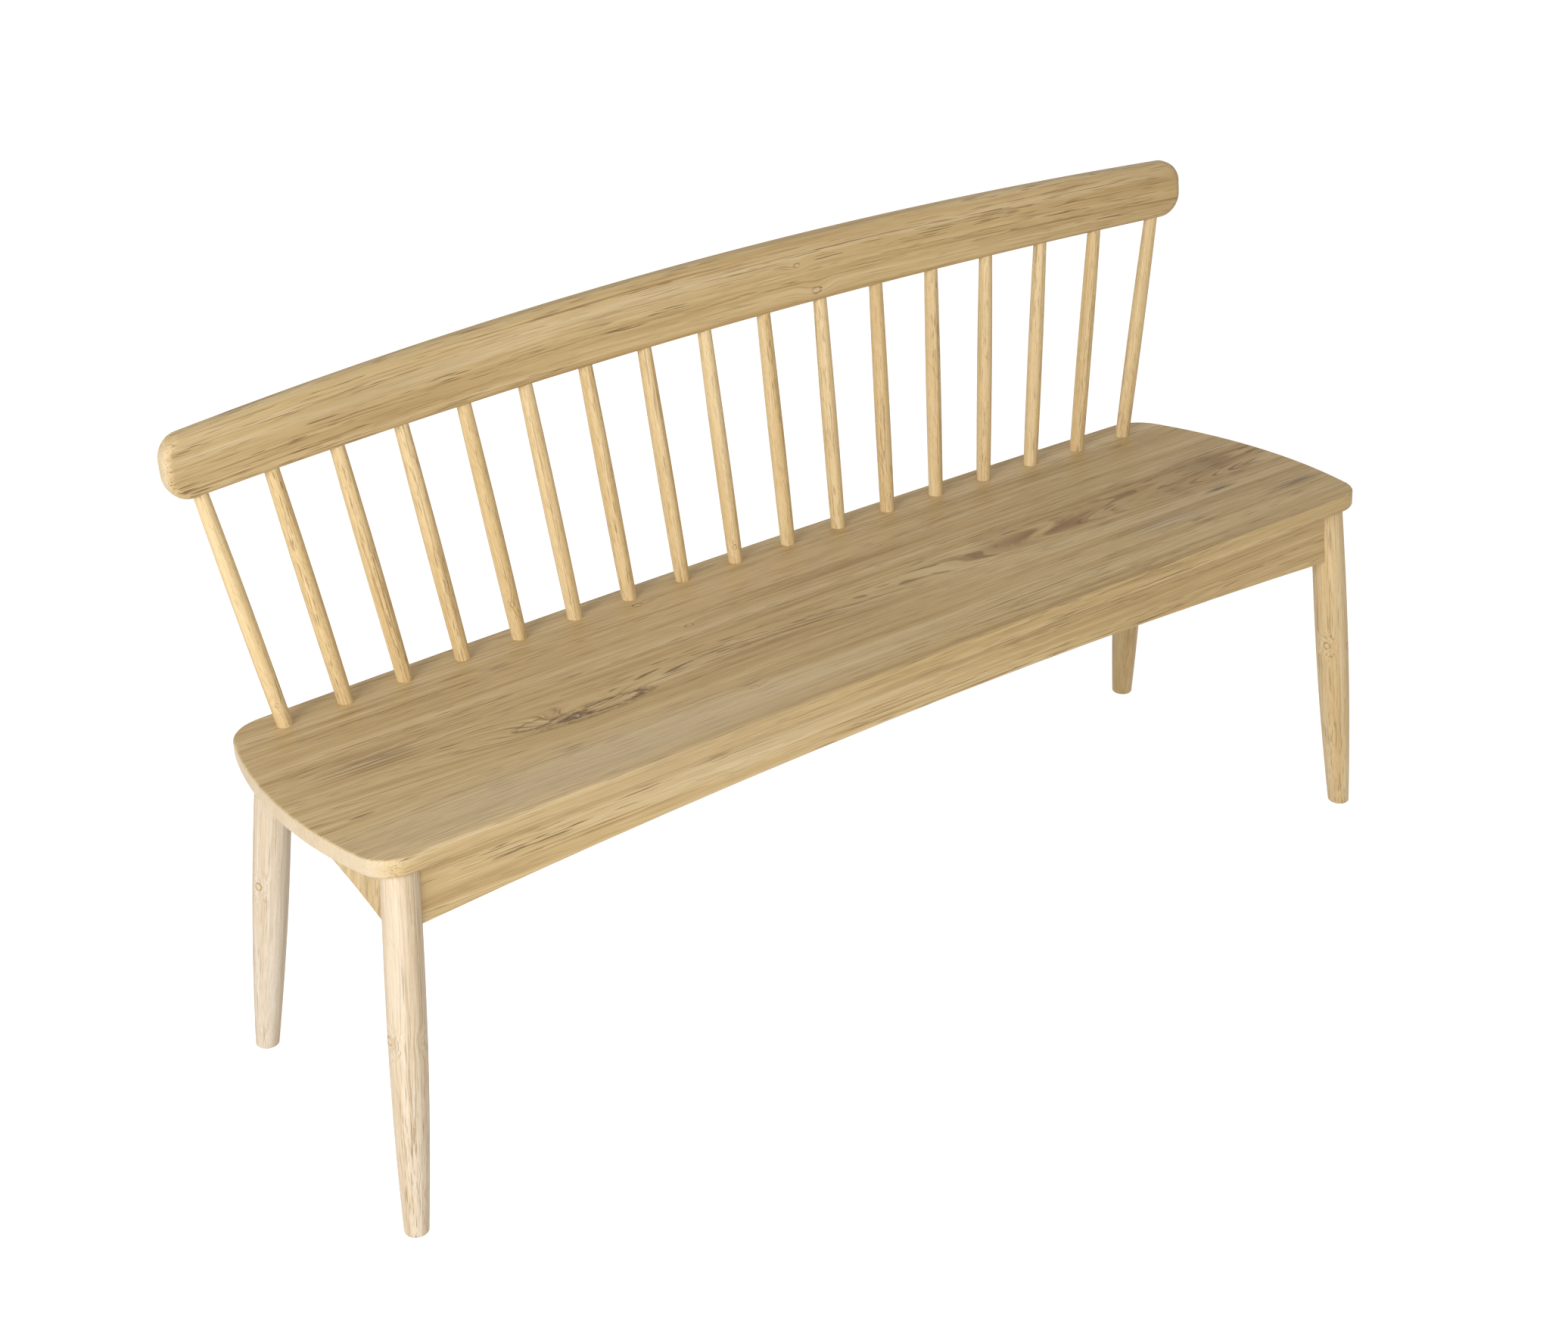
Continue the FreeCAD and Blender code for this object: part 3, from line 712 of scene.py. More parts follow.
def makeSpindles(material):
    sizes = {**spindleSizes, "Row back": spindleRowBack, "Row bow": backSizes["rowBow"],
             "Seat height": seatSizes["height"], "Slope": math.tan(seatSizes["slope"]),
             "Crest height": crestUnder, "Crest row back": crestRowBack, "Crest bend": crestBend}
    tree, given = nodeTree("spindleRow", sizes)

    half = times(tree, minus(tree, given["Count"], 1.0), 0.5)
    number = addNode(tree, "GeometryNodeInputIndex").outputs[0]
    place = minus(tree, number, half)
    side = calc(tree, "SIGN", place)
    seatX = timesPlus(tree, place, given["Seat pitch"], times(tree, side, given["Seat middle extra"]))
    share = over(tree, place, half)
    seatY = minus(tree, given["Row back"], times(tree, times(tree, share, share), given["Row bow"]))
    seatZ = minus(tree, given["Seat height"], times(tree, seatY, given["Slope"]))
    atEnd = calc(tree, "COMPARE", calc(tree, "ABSOLUTE", place), half, 0.01)
    fan = times(tree, times(tree, side, atEnd), given["End extra fan"])
    outward = timesPlus(tree, side, given["Crest middle extra"], fan)
    crestX = timesPlus(tree, place, given["Crest pitch"], outward)
    bend = given["Crest bend"]
    chord = calc(tree, "SQRT", minus(tree, times(tree, bend, bend), times(tree, crestX, crestX)))
    drop = minus(tree, bend, chord)
    crestY = minus(tree, given["Crest row back"], drop)
    low = joinXyz(tree, seatX, seatY, seatZ)
    high = joinXyz(tree, crestX, crestY, given["Crest height"])
    aim = vectorCalc(tree, "SUBTRACT", high, low)
    length = vectorCalc(tree, "LENGTH", aim)

    stick = addNode(tree, "GeometryNodeMeshCylinder", {"Vertices": 36, "Side Segments": 40, "Radius": 1.0,
                                                       "Depth": 1.0}).outputs["Mesh"]
    x, y, z = splitXyz(tree, pointPlace(tree))
    usualLength = 0.29      # for the parts of a stick inside the seat and the crest rail, and its grain
    foot = over(tree, given["Into seat"], usualLength)
    reach = over(tree, plus(tree, given["Into seat"], given["Into crest"]), usualLength)
    rise = minus(tree, times(tree, plus(tree, z, 0.5), plus(tree, reach, 1.0)), foot)
    radius = swollenRadius(tree, rise, given["Swell share"], minus(tree, 1.0, given["Swell share"]),
                           given["Seat diameter"], given["Swell diameter"], given["Crest diameter"])
    stick = moved(tree, stick, joinXyz(tree, times(tree, x, radius), times(tree, y, radius), rise))
    stick = storeGrain(tree, stick, pointPlace(tree))

    row = addNode(tree, "GeometryNodeMeshLine", {"Count": given["Count"]}).outputs[0]
    row = moved(tree, row, low)
    standing = copiesOn(tree, row, stick, aim, joinXyz(tree, 1.0, 1.0, length))
    marked = addNode(tree, "GeometryNodeStoreNamedAttribute", data_type="FLOAT", domain="INSTANCE")
    marked.inputs["Name"].default_value = "spindleNumber"
    feed(tree, marked.inputs["Geometry"], standing)
    feed(tree, marked.inputs["Value"], number)
    shape = addNode(tree, "GeometryNodeRealizeInstances", {"Geometry": marked.outputs[0]}).outputs[0]
    ownX, ownY, ownZ = splitXyz(tree, readAttribute(tree, "grain"))
    along = timesPlus(tree, ownZ, usualLength, readAttribute(tree, "spindleNumber", "FLOAT"))
    shape = storeGrain(tree, shape, joinXyz(tree, along, ownX, ownY))
    endTree(tree, shape, material)
    spindles = runTree(meshObject("spindles", [], []), tree, sizes)
    finishPiece(spindles, "oak", *["spindle_%02d" % (n + 1) for n in range(sizes["Count"])])


# Turned legs

legSizes = {
    "Foot diameter": 0.028,
    "Swell diameter": 0.0436,
    "Top diameter": 0.041,
    "Swell height": 0.287,
    "Sole easing": 0.0015,
    "Into seat": 0.006,
}
legPlaces = {
    "FrontLeft": {"side": -1, "front": True, "grainShift": (3.0, 0.0, 0.0), "node": "leg_front_left"},
    "FrontRight": {"side": 1, "front": True, "grainShift": (5.0, 0.0, 0.0), "node": "leg_front_right"},
    "BackLeft": {"side": -1, "front": False, "grainShift": (7.0, 0.0, 0.0), "node": "leg_back_left"},
    "BackRight": {"side": 1, "front": False, "grainShift": (9.0, 0.0, 0.0), "node": "leg_back_right"},
}
legInsets = {
    True: {"end": 0.0535, "edge": 0.0272, "sideSplay": 5.0, "foreSplay": 5.65},
    False: {"end": 0.080, "edge": 0.0578, "sideSplay": 4.92, "foreSplay": 3.9},
}


def legAxis(place):
    # the top and the foot of a leg's axis
    inset = legInsets[place["front"]]
    toward = -1 if place["front"] else 1
    y = toward * (seatSizes["depth"] / 2 - inset["edge"])
    height = seatUnderAt(y)
    top = Vector((place["side"] * (seatSizes["length"] / 2 - inset["end"]), y, height))
    out = place["side"] * math.tan(math.radians(inset["sideSplay"]))
    fore = toward * math.tan(math.radians(inset["foreSplay"]))
    return top, top + Vector((out, fore, -1)) * height


def makeLegs(leftOak, rightOak):
    # the left legs take the paler oak with painted light, the right legs the warmer oak
    for label, place in legPlaces.items():
        makeLeg(label, place, leftOak if place["side"] < 0 else rightOak)


def makeLeg(label, place, material):
    sizes = {**legSizes, "Foot": (0.0, 0.0, 0.0), "Top": (0.0, 0.0, 0.0), "Grain shift": (0.0, 0.0, 0.0)}
    tree, given = nodeTree("turnedLeg" + label, sizes)
    blank = addNode(tree, "GeometryNodeMeshCylinder", {"Vertices": 64, "Side Segments": 90, "Radius": 1.0,
                                                       "Depth": 1.0}).outputs["Mesh"]
    x, y, z = splitXyz(tree, pointPlace(tree))
    axis = vectorCalc(tree, "SUBTRACT", given["Top"], given["Foot"])
    axisX, axisY, axisZ = splitXyz(tree, axis)
    full = plus(tree, axisZ, given["Into seat"])
    upward = calc(tree, "MAXIMUM", plus(tree, z, 0.5), 0.0)
    share = calc(tree, "POWER", upward, 1.6)        # closer rings by the sole
    rise = times(tree, share, full)
    radius = swollenRadius(tree, rise, given["Swell height"], minus(tree, axisZ, given["Swell height"]),
                           given["Foot diameter"], given["Swell diameter"], given["Top diameter"])
    ease = given["Sole easing"]
    short = calc(tree, "MAXIMUM", minus(tree, ease, rise), 0.0)
    chord = minus(tree, times(tree, ease, ease), times(tree, short, short))
    chord = calc(tree, "SQRT", calc(tree, "MAXIMUM", chord, 0.0))
    radius = minus(tree, radius, minus(tree, ease, chord))
    roundX, roundY = times(tree, x, radius), times(tree, y, radius)
    slantX, slantY = over(tree, axisX, axisZ), over(tree, axisY, axisZ)
    stretch = times(tree, plus(tree, times(tree, roundX, slantX), times(tree, roundY, slantY)), 0.5)
    levelX, levelY = timesPlus(tree, stretch, slantX, roundX), timesPlus(tree, stretch, slantY, roundY)
    level = joinXyz(tree, levelX, levelY, 0.0)
    slant = joinXyz(tree, slantX, slantY, 1.0)
    onAxis = vectorCalc(tree, "MULTIPLY", slant, joinXyz(tree, rise, rise, rise))
    spot = vectorCalc(tree, "ADD", vectorCalc(tree, "ADD", given["Foot"], onAxis), level)
    along = vectorCalc(tree, "ADD", joinXyz(tree, rise, roundX, roundY), given["Grain shift"])
    endTree(tree, moved(tree, storeGrain(tree, blank, along), spot), material)
    top, foot = legAxis(place)
    sizes.update({"Foot": tuple(foot), "Top": tuple(top), "Grain shift": place["grainShift"]})
    leg = runTree(meshObject("leg" + label, [], []), tree, sizes)
    finishPiece(leg, "oak", place["node"])


# Aprons, corner blocks and the cross rail keep their CAD shapes, with grain along each board

def dressBoard(node, material):
    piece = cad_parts[node]
    piece.data.materials.clear()
    piece.data.materials.append(material)


def dressBoards():
    standing = (math.radians(90), 0.0, 0.0)
    sideways = (0.0, 0.0, math.radians(90))
    front = {"rotation": standing, "location": (1.7, 0.2, 0.0)}
    back = {"rotation": standing, "location": (4.1, 0.5, 0.3)}
    ends = {"rotation": (math.radians(90), 0.0, math.radians(90)), "location": (6.3, 0.1, 0.2)}
    middle = {"rotation": sideways, "location": (2.2, 0.4, 0.1)}
    dressBoard("apron_front", oakMaterial("oakFrontApron", front, waviness=0.010, toneShift=0.02))
    dressBoard("apron_back", oakMaterial("oakBackApron", back, waviness=0.010, toneShift=0.02))
    side = oakMaterial("oakSideApron", ends, waviness=0.010)
    dressBoard("apron_left", side)
    dressBoard("apron_right", side)
    dressBoard("cross_rail", oakMaterial("oakCrossRail", middle))
    for node, angle in (("corner_block_front_left", -45), ("corner_block_front_right", 45),
                        ("corner_block_back_left", 45), ("corner_block_back_right", -45)):
        turned = {"rotation": (0.0, 0.0, math.radians(angle)), "location": (angle * 0.1, 0.3, 0.2)}
        dressBoard(node, oakMaterial("oakCornerBlock" + str(angle) + node[-5:].replace("_", ""), turned))
    print("boards dressed")


# Fasteners: each kind is one small mesh, set on its places and aimed by its node tree

fastenerSizes = {
    "blockThickness": 0.026,
    "blockHeight": 0.030,
    "blockFromLeg": 0.018,
    "railHeight": 0.024,
    "boltDiameter": 0.008,
    "boltPastAxis": 0.008,
    "boltDrop": 0.015,
    "boltSpare": 0.003,
    "boreSpare": 0.0001,
    "washerDiameter": 0.018,
    "washerThickness": 0.0016,
    "nutWidth": 0.013,
    "nutThickness": 0.0065,
    "screwDiameter": 0.0042,
    "screwHead": 0.0084,
    "screwHeadHeight": 0.0026,
    "screwBite": 0.012,
    "screwOffset": 0.024,
    "frontApronDrop": 0.073,
    "sideApronDrop": 0.052,
}


def turnedShape(name, profile, sides):
    # a closed shape turned about Z from (radius, height) pairs that start and end on the axis
    points, faces, rings = [], [], []
    for radius, height in profile:
        if radius < 1e-7:
            rings.append([len(points)])
            points.append((0.0, 0.0, height))
            continue
        rings.append([len(points) + k for k in range(sides)])
        for k in range(sides):
            turn = 2 * math.pi * k / sides
            points.append((radius * math.cos(turn), radius * math.sin(turn), height))
    for first, second in zip(rings, rings[1:]):
        for k in range(sides):
            n = (k + 1) % sides
            a, b = first[k % len(first)], first[n % len(first)]
            c, d = second[n % len(second)], second[k % len(second)]
            faces.append(tuple(dict.fromkeys((a, b, c, d))))
    return closedShape(name, points, faces)


def ringShape(name, profile, sides):
    # a ring about Z from a closed loop of (radius, height) pairs; a radius may be a function of the turn
    points, faces = [], []
    for row, (radius, height) in enumerate(profile):
        following = (row + 1) % len(profile)
        for k in range(sides):
            turn = 2 * math.pi * k / sides
            reach = radius(turn) if callable(radius) else radius
            points.append((reach * math.cos(turn), reach * math.sin(turn), height))
            n = (k + 1) % sides
            faces.append((row * sides + k, row * sides + n, following * sides + n, following * sides + k))
    return closedShape(name, points, faces)


def threaded(radius, start, finish, pitch, depth):
    # profile points of a thread's crests and roots between two heights
    points = []
    count = max(1, int((finish - start) / pitch))
    step = (finish - start) / count
    for k in range(count):
        z = start + k * step
        points += [(radius - depth, z + 0.15 * step), (radius, z + 0.45 * step), (radius, z + 0.60 * step),
                   (radius - depth, z + 0.90 * step)]
    return points


def setOnPlaces(name, shape, places, material, nodes):
    # puts a copy of the shape at each (point, direction), as one plain mesh
    holder = meshObject(name, [point for point, aim in places], [])
    aims = holder.data.attributes.new("aim", "FLOAT_VECTOR", "POINT")
    aims.data.foreach_set("vector", [c for point, aim in places for c in aim])
    tree, given = nodeTree(name + "Places", {"Shape": shape})
    pattern = addNode(tree, "GeometryNodeObjectInfo", {"Object": given["Shape"]}).outputs["Geometry"]
    endTree(tree, copiesOn(tree, given["Geometry"], pattern, readAttribute(tree, "aim")), material)
    piece = runTree(holder, tree, {"Shape": shape})
    bpy.data.objects.remove(shape)
    piece.data.set_sharp_from_angle(angle=math.radians(35))
    finishPiece(piece, "zinc_steel", *nodes)


def cornerPlaces():
    # for each corner: the bolt's point on the leg's axis, the way in, and the way across
    feet = {label: legAxis(place) for label, place in legPlaces.items()}
    corners = []
    for label, place in legPlaces.items():
        top, foot = feet[label]
        level = top.z - fastenerSizes["boltDrop"]
        centre = foot + (top - foot) * (level / top.z)
        inward = Vector((0, 0, 0))
        row = "Front" if place["front"] else "Back"
        otherRow = "Back" if place["front"] else "Front"
        sideName = "Left" if place["side"] < 0 else "Right"
        otherSide = "Right" if place["side"] < 0 else "Left"
        for other in (row + otherSide, otherRow + sideName):
            alongFront = place["front"] and other == row + otherSide
            depth = fastenerSizes["frontApronDrop" if alongFront else "sideApronDrop"]
            level = min(top.z, feet[other][0].z) - depth
            here = foot + (top - foot) * (level / top.z)
            there = feet[other][1] + (feet[other][0] - feet[other][1]) * (level / feet[other][0].z)
            inward += (there - here).normalized()
        inward.z = 0
        inward.normalize()
        corners.append((centre, inward, Vector((0, 0, 1)).cross(inward)))
    return corners


def makeFasteners(material):
    s = fastenerSizes
    corners = cornerPlaces()
    near = legSizes["Swell diameter"] / 2 + s["blockFromLeg"]
    far = near + s["blockThickness"]
    r = s["boltDiameter"] / 2
    end = far + s["washerThickness"] + s["nutThickness"] + s["boltSpare"]
    span = s["boltPastAxis"] + end
    profile = [(0, 0), (r * 0.75, 0)] + threaded(r, 0.0006, span * 0.45, 0.0026, 0.0007)
    profile += [(r * 0.92, span * 0.47), (r * 0.92, span * 0.60)]
    profile += threaded(r, span * 0.60, span - 0.001, 0.00125, 0.0005) + [(r * 0.75, span), (0, span)]
    bolt = turnedShape("boltShape", profile, 28)
    setOnPlaces("hangerBolts", bolt, [(c - i * s["boltPastAxis"], i) for c, i, a in corners], material,
                ["hanger_bolts"])
    inner, outer, thick = r + s["boreSpare"], s["washerDiameter"] / 2, s["washerThickness"]
    e = 0.0003
    washer = ringShape("washerShape", [
        (inner, e), (inner + e, 0), (outer - e, 0), (outer, e),
        (outer, thick - e), (outer - e, thick), (inner + e, thick), (inner, thick - e)], 40)
    places = [(c + i * far, i) for c, i, a in corners]
    setOnPlaces("boltWashers", washer, places, material, ["bolt_washers"])
    nut = nutShape()
    start = far + s["washerThickness"]
    setOnPlaces("boltNuts", nut, [(c + i * start, i) for c, i, a in corners], material, ["bolt_nuts"])
    spots = []
    for centre, inward, across in corners:
        for sideways in (-s["screwOffset"], s["screwOffset"]):
            spot = centre + inward * (near + s["blockThickness"] / 2) + across * sideways
            spots.append(Vector((spot.x, spot.y, centre.z + s["boltDrop"] - s["blockHeight"])))
    for n in range(3):
        y = seatSizes["depth"] * ((n + 1) / 4 - 0.5)
        spots.append(Vector((0, y, seatUnderAt(y) - s["railHeight"])))
    tips = [seatUnderAt(spot.y) + s["screwBite"] - spot.z for spot in spots]
    places = [(spot, Vector((0, 0, 1))) for spot in spots]
    setOnPlaces("seatScrews", screwShape(min(tips)), places, material, ["seat_screws"])


def nutShape():
    # a hexagon nut with chamfered corners and a bore, standing on z = 0
    s = fastenerSizes
    flat, tall = s["nutWidth"] / 2, s["nutThickness"]
    bore = s["boltDiameter"] / 2 + s["boreSpare"]
    ease = 0.0004

    def hexAt(turn):
        return flat / math.cos((turn + math.pi / 6) % (math.pi / 3) - math.pi / 6)

    return ringShape("nutShape", [
        (bore, ease), (bore + ease, 0.0), (flat * 0.97, 0.0), (hexAt, 0.0006), (hexAt, tall - 0.0006),
        (flat * 0.97, tall), (bore + ease, tall), (bore, tall - ease)], 48)


def screwShape(length):
    # a countersunk wood screw with a cross recess, head down on z = 0 and its point up
    s = fastenerSizes
    head, core = s["screwHead"] / 2, s["screwDiameter"] / 2
    recess = {"corner": head * 0.20, "arm": head * 0.50, "sides": 24}
    profile = [(0, 0), (recess["corner"], 0), (recess["arm"], 0), (recess["arm"] * 1.06, 0),
               (head * 0.97, 0), (head, 0.0002), (core, s["screwHeadHeight"])]
    profile += threaded(core, s["screwHeadHeight"] + 0.004, length - 0.004, 0.0018, 0.0006)
    profile += [(0, length)]
    piece = turnedShape("screwShape", profile, recess["sides"])
    for vert in piece.data.vertices:        # four arms are pressed into the head's flat face
        reach = vert.co.xy.length
        if vert.co.z > 1e-6 or reach > recess["arm"] * 1.01:
            continue
        fromArm = abs((math.degrees(math.atan2(vert.co.y, vert.co.x)) + 45) % 90 - 45)
        if reach < 1e-6:
            vert.co.z = s["screwHeadHeight"] * 0.70
        elif fromArm < 20:
            vert.co.z = s["screwHeadHeight"] * (0.60 if reach < recess["arm"] * 0.9 else 0.36)
    return piece


# Materials with what the photograph shows on each piece

darkCore = paint(98, 70, 42)
seatKnots = [
    {"at": (-0.391, -0.053, 0.0), "reach": (0.027, 0.0080, 0.05), "push": 1.5, "rim": 0.85, "heart": 0.80,
     "fill": darkCore, "ragged": 0.55, "line": 0.26},
    {"at": (-0.345, -0.052, 0.0), "reach": (0.056, 0.0125, 0.05), "push": 0.9, "rim": 0.80, "heart": 0.0,
     "ragged": 0.40, "line": 0.17},
    {"at": (-0.362, -0.053, 0.0), "reach": (0.088, 0.0180, 0.05), "push": 0.5, "rim": 0.45, "heart": 0.0,
     "ragged": 0.50, "line": 0.16},
    {"at": (-0.438, -0.040, 0.0), "reach": (0.032, 0.0105, 0.05), "push": 0.3, "rim": 0.60, "heart": 0.0,
     "ragged": 0.50, "line": 0.20},
    {"at": (-0.168, 0.150, 0.0), "reach": (0.008, 0.0045, 0.05), "rim": 0.85, "heart": 0.5},
    {"at": (-0.156, 0.058, 0.0), "reach": (0.007, 0.004, 0.05), "rim": 0.6, "heart": 0.3},
    {"at": (-0.199, -0.133, 0.0), "reach": (0.007, 0.004, 0.05), "rim": 0.35, "heart": 0.2},
]
seatStainsAndShade = streakRows(0, 0.05, [
    ((-0.42, -0.16), (0.56, 0.075), 0.62, (209, 190, 158), (6.0, 260.0), 0.1, 0.45),
    ((-0.02, 0.125), (0.34, 0.055), 0.5, (214, 184, 136), (6.0, 260.0), 0.15, 0.5),
    # partly painted shade: this broad dark patch over the right half of the seat is partly the wood's own
    # streaks and partly painted shade where the light falls off away from the key light on the left
    ((0.56, 0.01), (0.34, 0.15), 0.45, (150, 116, 72), (3.0, 60.0), 0.3, 0.66),
    ((-0.62, 0.004), (0.13, 0.046), 0.75, (122, 92, 56), (4.0, 230.0), 0.46, 0.58),
    ((-0.4, -0.05), (0.15, 0.04), 0.55, (124, 98, 60), (6.0, 330.0), 0.46, 0.6),
    ((-0.06, -0.045), (0.3, 0.06), 0.5, (136, 100, 58), (4.0, 260.0), 0.46, 0.6),
    ((0.345, -0.02), (0.17, 0.038), 0.9, (124, 84, 44), (4.0, 240.0), 0.44, 0.56),
    ((0.18, 0.06), (0.38, 0.08), 0.55, (140, 100, 56), (3.0, 190.0), 0.48, 0.62),
    ((0.68, 0), (0.13, 0.075), 0.62, (116, 84, 48), (5.0, 200.0), 0.44, 0.58),
    ((0.603, -0.074), (0.04, 0.006), 1, (62, 44, 28), (14.0, 300.0), 0.36, 0.5),
    ((0.69, -0.125), (0.075, 0.018), 0.95, (84, 62, 38), (7.0, 330.0), 0.42, 0.62),
    ((0.468, -0.107), (0.11, 0.03), 0.75, (128, 108, 80), (5.0, 420.0), 0.42, 0.62),
    ((0.48, -0.112), (0.09, 0.026), 0.6, (212, 200, 180), (6.0, 520.0), 0.52, 0.6),
    ((-0.396, -0.054), (0.024, 0.007), 1, (52, 38, 24), (60.0, 260.0), 0.5, 0.56),
])
coreMarks = streakRows(0, 0.05, [
    ((-0.386, -0.055), (0.019, 0.0055), 1, (216, 204, 182), (90.0, 330.0), 0.5, 0.56),
])
oakSeat = oakMaterial("oakSeat", knots=seatKnots, stainsAndShade=seatStainsAndShade, marks=coreMarks, toneShift=-0.02,
                      endShare=0.85, crown={"line": -0.050, "reach": 0.040, "start": -0.60, "slope": 0.055})
crestStainsAndShade = streakRows(-0.012, 0.08, [
    # partly painted shade: this broad dark patch over the right end of the rail is partly the wood's own
    # streaks and partly painted shade away from the key light on the left
    ((0.72, 0.77), (0.42, 0.11), 0.42, (152, 120, 72), (3.0, 80.0), 0.25, 0.6),
    # a darker band along the top of the rail
    ((0.2, 0.8), (0.5, 0.04), 0.38, (158, 126, 76), (3.0, 110.0), 0.3, 0.6),
    ((-0.45, 0.765), (0.26, 0.05), 0.4, (158, 128, 82), (3.0, 90.0), 0.3, 0.6),
])
crestKnots = [
    {"at": (0.164, 0.742, -0.0125), "reach": (0.009, 0.0045, 0.03), "rim": 0.9, "heart": 0.6},
    {"at": (0.137, 0.779, -0.0125), "reach": (0.006, 0.003, 0.03), "rim": 0.6, "heart": 0.3},
]
oakCrest = oakMaterial("oakCrest", knots=crestKnots, stainsAndShade=crestStainsAndShade, toneShift=-0.01, waviness=0.012,
                       endShare=0.55)


def turnedKnots(reach, rim, heart, *places):  # small knots on the face of a turned piece
    return [{"at": place, "reach": reach, "rim": rim, "heart": heart} for place in places]


turnedLook = {"ringTone": 0.03, "ringPitch": 0.006, "waviness": 0.005, "bandTone": 0.30}
spindleKnots = turnedKnots((0.004, 0.0022, 0.006), 0.8, 0.7,
                           (0.030, -0.004, -0.008), (4.045, -0.004, -0.008), (8.020, -0.004, -0.008))
oakSpindle = oakMaterial("oakSpindle", knots=spindleKnots, toneShift=0.10, body=paint(207, 178, 126),
                         light=paint(228, 205, 161), shade=paint(168, 134, 82), fleckStrength=0.32,
                         lineStrength=0.55, poreStrength=0.60, poreCells=(45.0, 800.0, 800.0), **turnedLook)
legLook = {**turnedLook, "lineStrength": 0.50, "lineCells": (3.5, 480.0, 480.0), "poreStrength": 0.50,
           "poreCells": (18.0, 900.0, 900.0), "fleckStrength": 0.15, "streakTone": 0.80}
legKnot = ((0.006, 0.0035, 0.006), 0.7, 0.9)
leftKnots = turnedKnots(*legKnot, (3.245, -0.0214, 0.0012), (3.245, 0.0069, -0.0204),
                        (7.240, -0.0204, -0.0071))
rightKnots = turnedKnots(*legKnot, (5.250, -0.0195, -0.0091), (5.245, 0.0088, -0.0199))
# painted light: the two left legs, nearer the key light, get a paler, greyer oak that stands in for the
# washed-out look of their lit sides; the right legs keep the warmer oak
oakPaleLeg = oakMaterial("oakPaleLeg", knots=leftKnots, toneShift=0.08, body=paint(204, 184, 154),
                         light=paint(225, 213, 195), shade=paint(166, 136, 96), **legLook)
oakWarmLeg = oakMaterial("oakWarmLeg", knots=rightKnots, toneShift=0.06, body=paint(208, 179, 129),
                         **legLook)
zincSteel = steelMaterial("zincSteel", {"dull": paint(150, 150, 148), "bright": paint(188, 189, 190)})
print("materials ready")

makeSeat(oakSeat)
makeCrest(oakCrest)
makeSpindles(oakSpindle)
makeLegs(oakPaleLeg, oakWarmLeg)
dressBoards()
makeFasteners(zincSteel)


# Stage: pale floor and white surroundings, soft light from the front left

stageLook = {
    "floorSize": 9.0,
    "floorColour": (0.70, 0.70, 0.70, 1.0),
    "floorGlow": 0.74,
    "skyStrength": 0.48,
    "skyColour": (1.0, 0.96, 0.88, 1.0),
    "keyPower": 96.0,
    "keyColour": (0.97, 0.99, 1.05),
    "keyPlace": (-3.4, -1.3, 1.8),
    "keySize": 2.0,
    "fillPower": 36.0,
    "fillColour": (1.0, 0.98, 0.94),
    "fillPlace": (-0.9, -3.6, 0.9),
    "fillSize": 2.4,
}


def seenDirectly(tree):  # 1 for rays from the camera, mirrors and glass
    seen = addNode(tree, "ShaderNodeLightPath").outputs
    direct = calc(tree, "MAXIMUM", seen["Is Camera Ray"], seen["Is Glossy Ray"])
    return calc(tree, "MAXIMUM", direct, seen["Is Transmission Ray"])


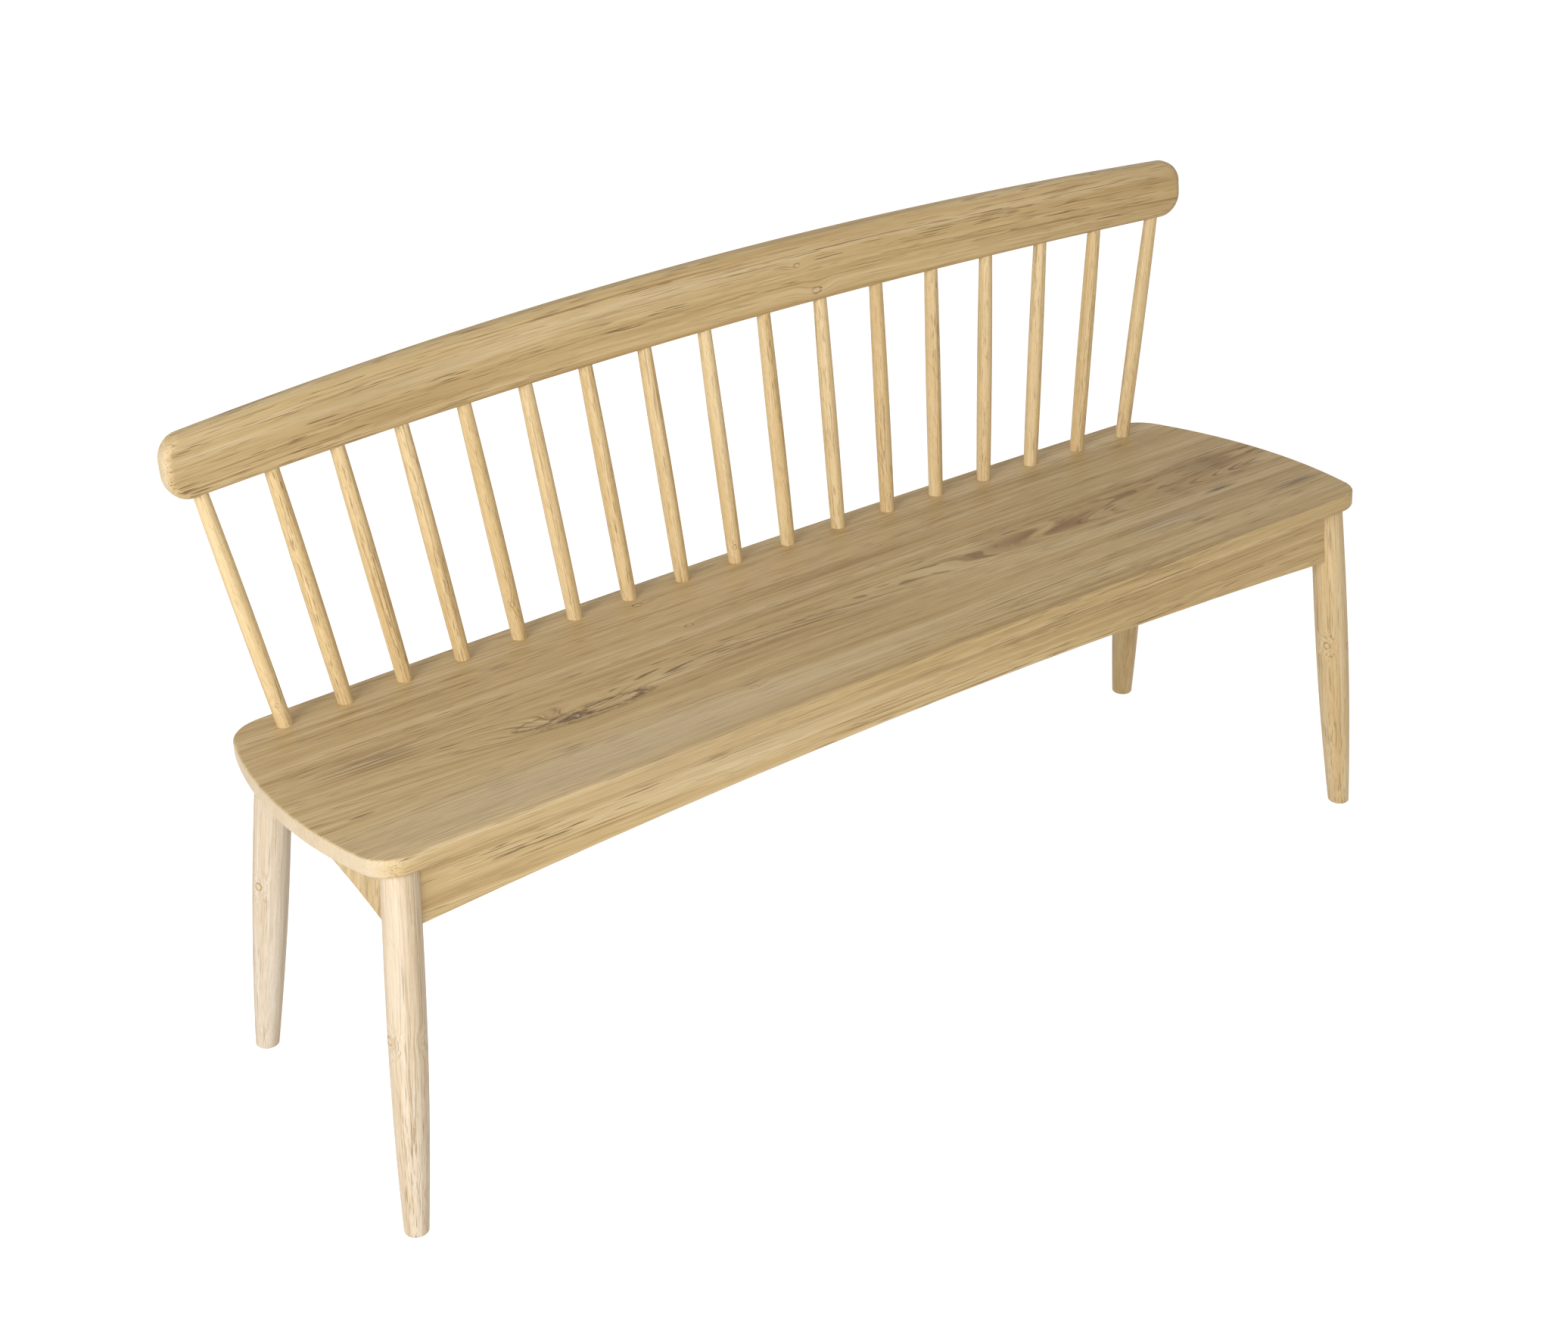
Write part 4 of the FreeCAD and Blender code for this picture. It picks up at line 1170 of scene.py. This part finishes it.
def makeStage():
    look = stageLook
    half = look["floorSize"] / 2
    floor = meshObject("floor", [(-half, -half, 0), (half, -half, 0), (half, half, 0), (-half, half, 0)],
                       [(0, 1, 2, 3)])
    material, tree = newMaterial("paleFloor")
    matt = addNode(tree, "ShaderNodeBsdfDiffuse", {"Color": look["floorColour"]})
    glow = addNode(tree, "ShaderNodeEmission", {"Strength": look["floorGlow"]})
    shown = seenDirectly(tree)
    both = addNode(tree, "ShaderNodeAddShader", {0: matt.outputs[0], 1: glow.outputs[0]})
    mixed = addNode(tree, "ShaderNodeMixShader", {0: shown, 1: matt.outputs[0], 2: both.outputs[0]})
    addNode(tree, "ShaderNodeOutputMaterial", {"Surface": mixed.outputs[0]})
    floor.data.materials.append(material)

    world = bpy.data.worlds.new("whiteRoom")
    world.use_nodes = True
    bpy.context.scene.world = world
    tree = world.node_tree
    tree.nodes.clear()
    sky, power = look["skyColour"], look["skyStrength"]
    plain = addNode(tree, "ShaderNodeBackground", {"Color": sky, "Strength": power})
    white = addNode(tree, "ShaderNodeBackground", {"Color": (1, 1, 1, 1), "Strength": 1.0})
    shown = seenDirectly(tree)
    mixed = addNode(tree, "ShaderNodeMixShader", {0: shown, 1: plain.outputs[0], 2: white.outputs[0]})
    addNode(tree, "ShaderNodeOutputWorld", {"Surface": mixed.outputs[0]})

    for label in ("key", "fill"):
        lamp = bpy.data.lights.new(label + "Light", "AREA")
        lamp.shape = "DISK"
        lamp.size = look[label + "Size"]
        lamp.energy = look[label + "Power"]
        lamp.color = look[label + "Colour"]
        holder = bpy.data.objects.new(label + "Light", lamp)
        holder.location = look[label + "Place"]
        aim = Vector((0, 0, 0.4)) - Vector(look[label + "Place"])
        holder.rotation_euler = aim.to_track_quat("-Z", "Y").to_euler()
        bpy.context.scene.collection.objects.link(holder)


def makeCamera():
    view = {"place": (-1.80848, -2.31595, 2.01231), "forward": (0.52651, 0.69288, -0.49265), "lens": 62.85}
    camera = bpy.data.cameras.new("camera")
    camera.lens = view["lens"]
    camera.sensor_width = 36.0
    camera.sensor_fit = "HORIZONTAL"
    camera.clip_end = 50.0
    holder = bpy.data.objects.new("camera", camera)
    forward = Vector(view["forward"]).normalized()
    right = forward.cross(Vector((0, 0, 1))).normalized()
    up = right.cross(forward)
    turn = Matrix((right, up, -forward)).transposed().to_4x4()
    holder.matrix_world = Matrix.Translation(view["place"]) @ turn
    bpy.context.scene.collection.objects.link(holder)
    bpy.context.scene.camera = holder


makeStage()
makeCamera()
bpy.context.scene.view_settings.view_transform = "Standard"
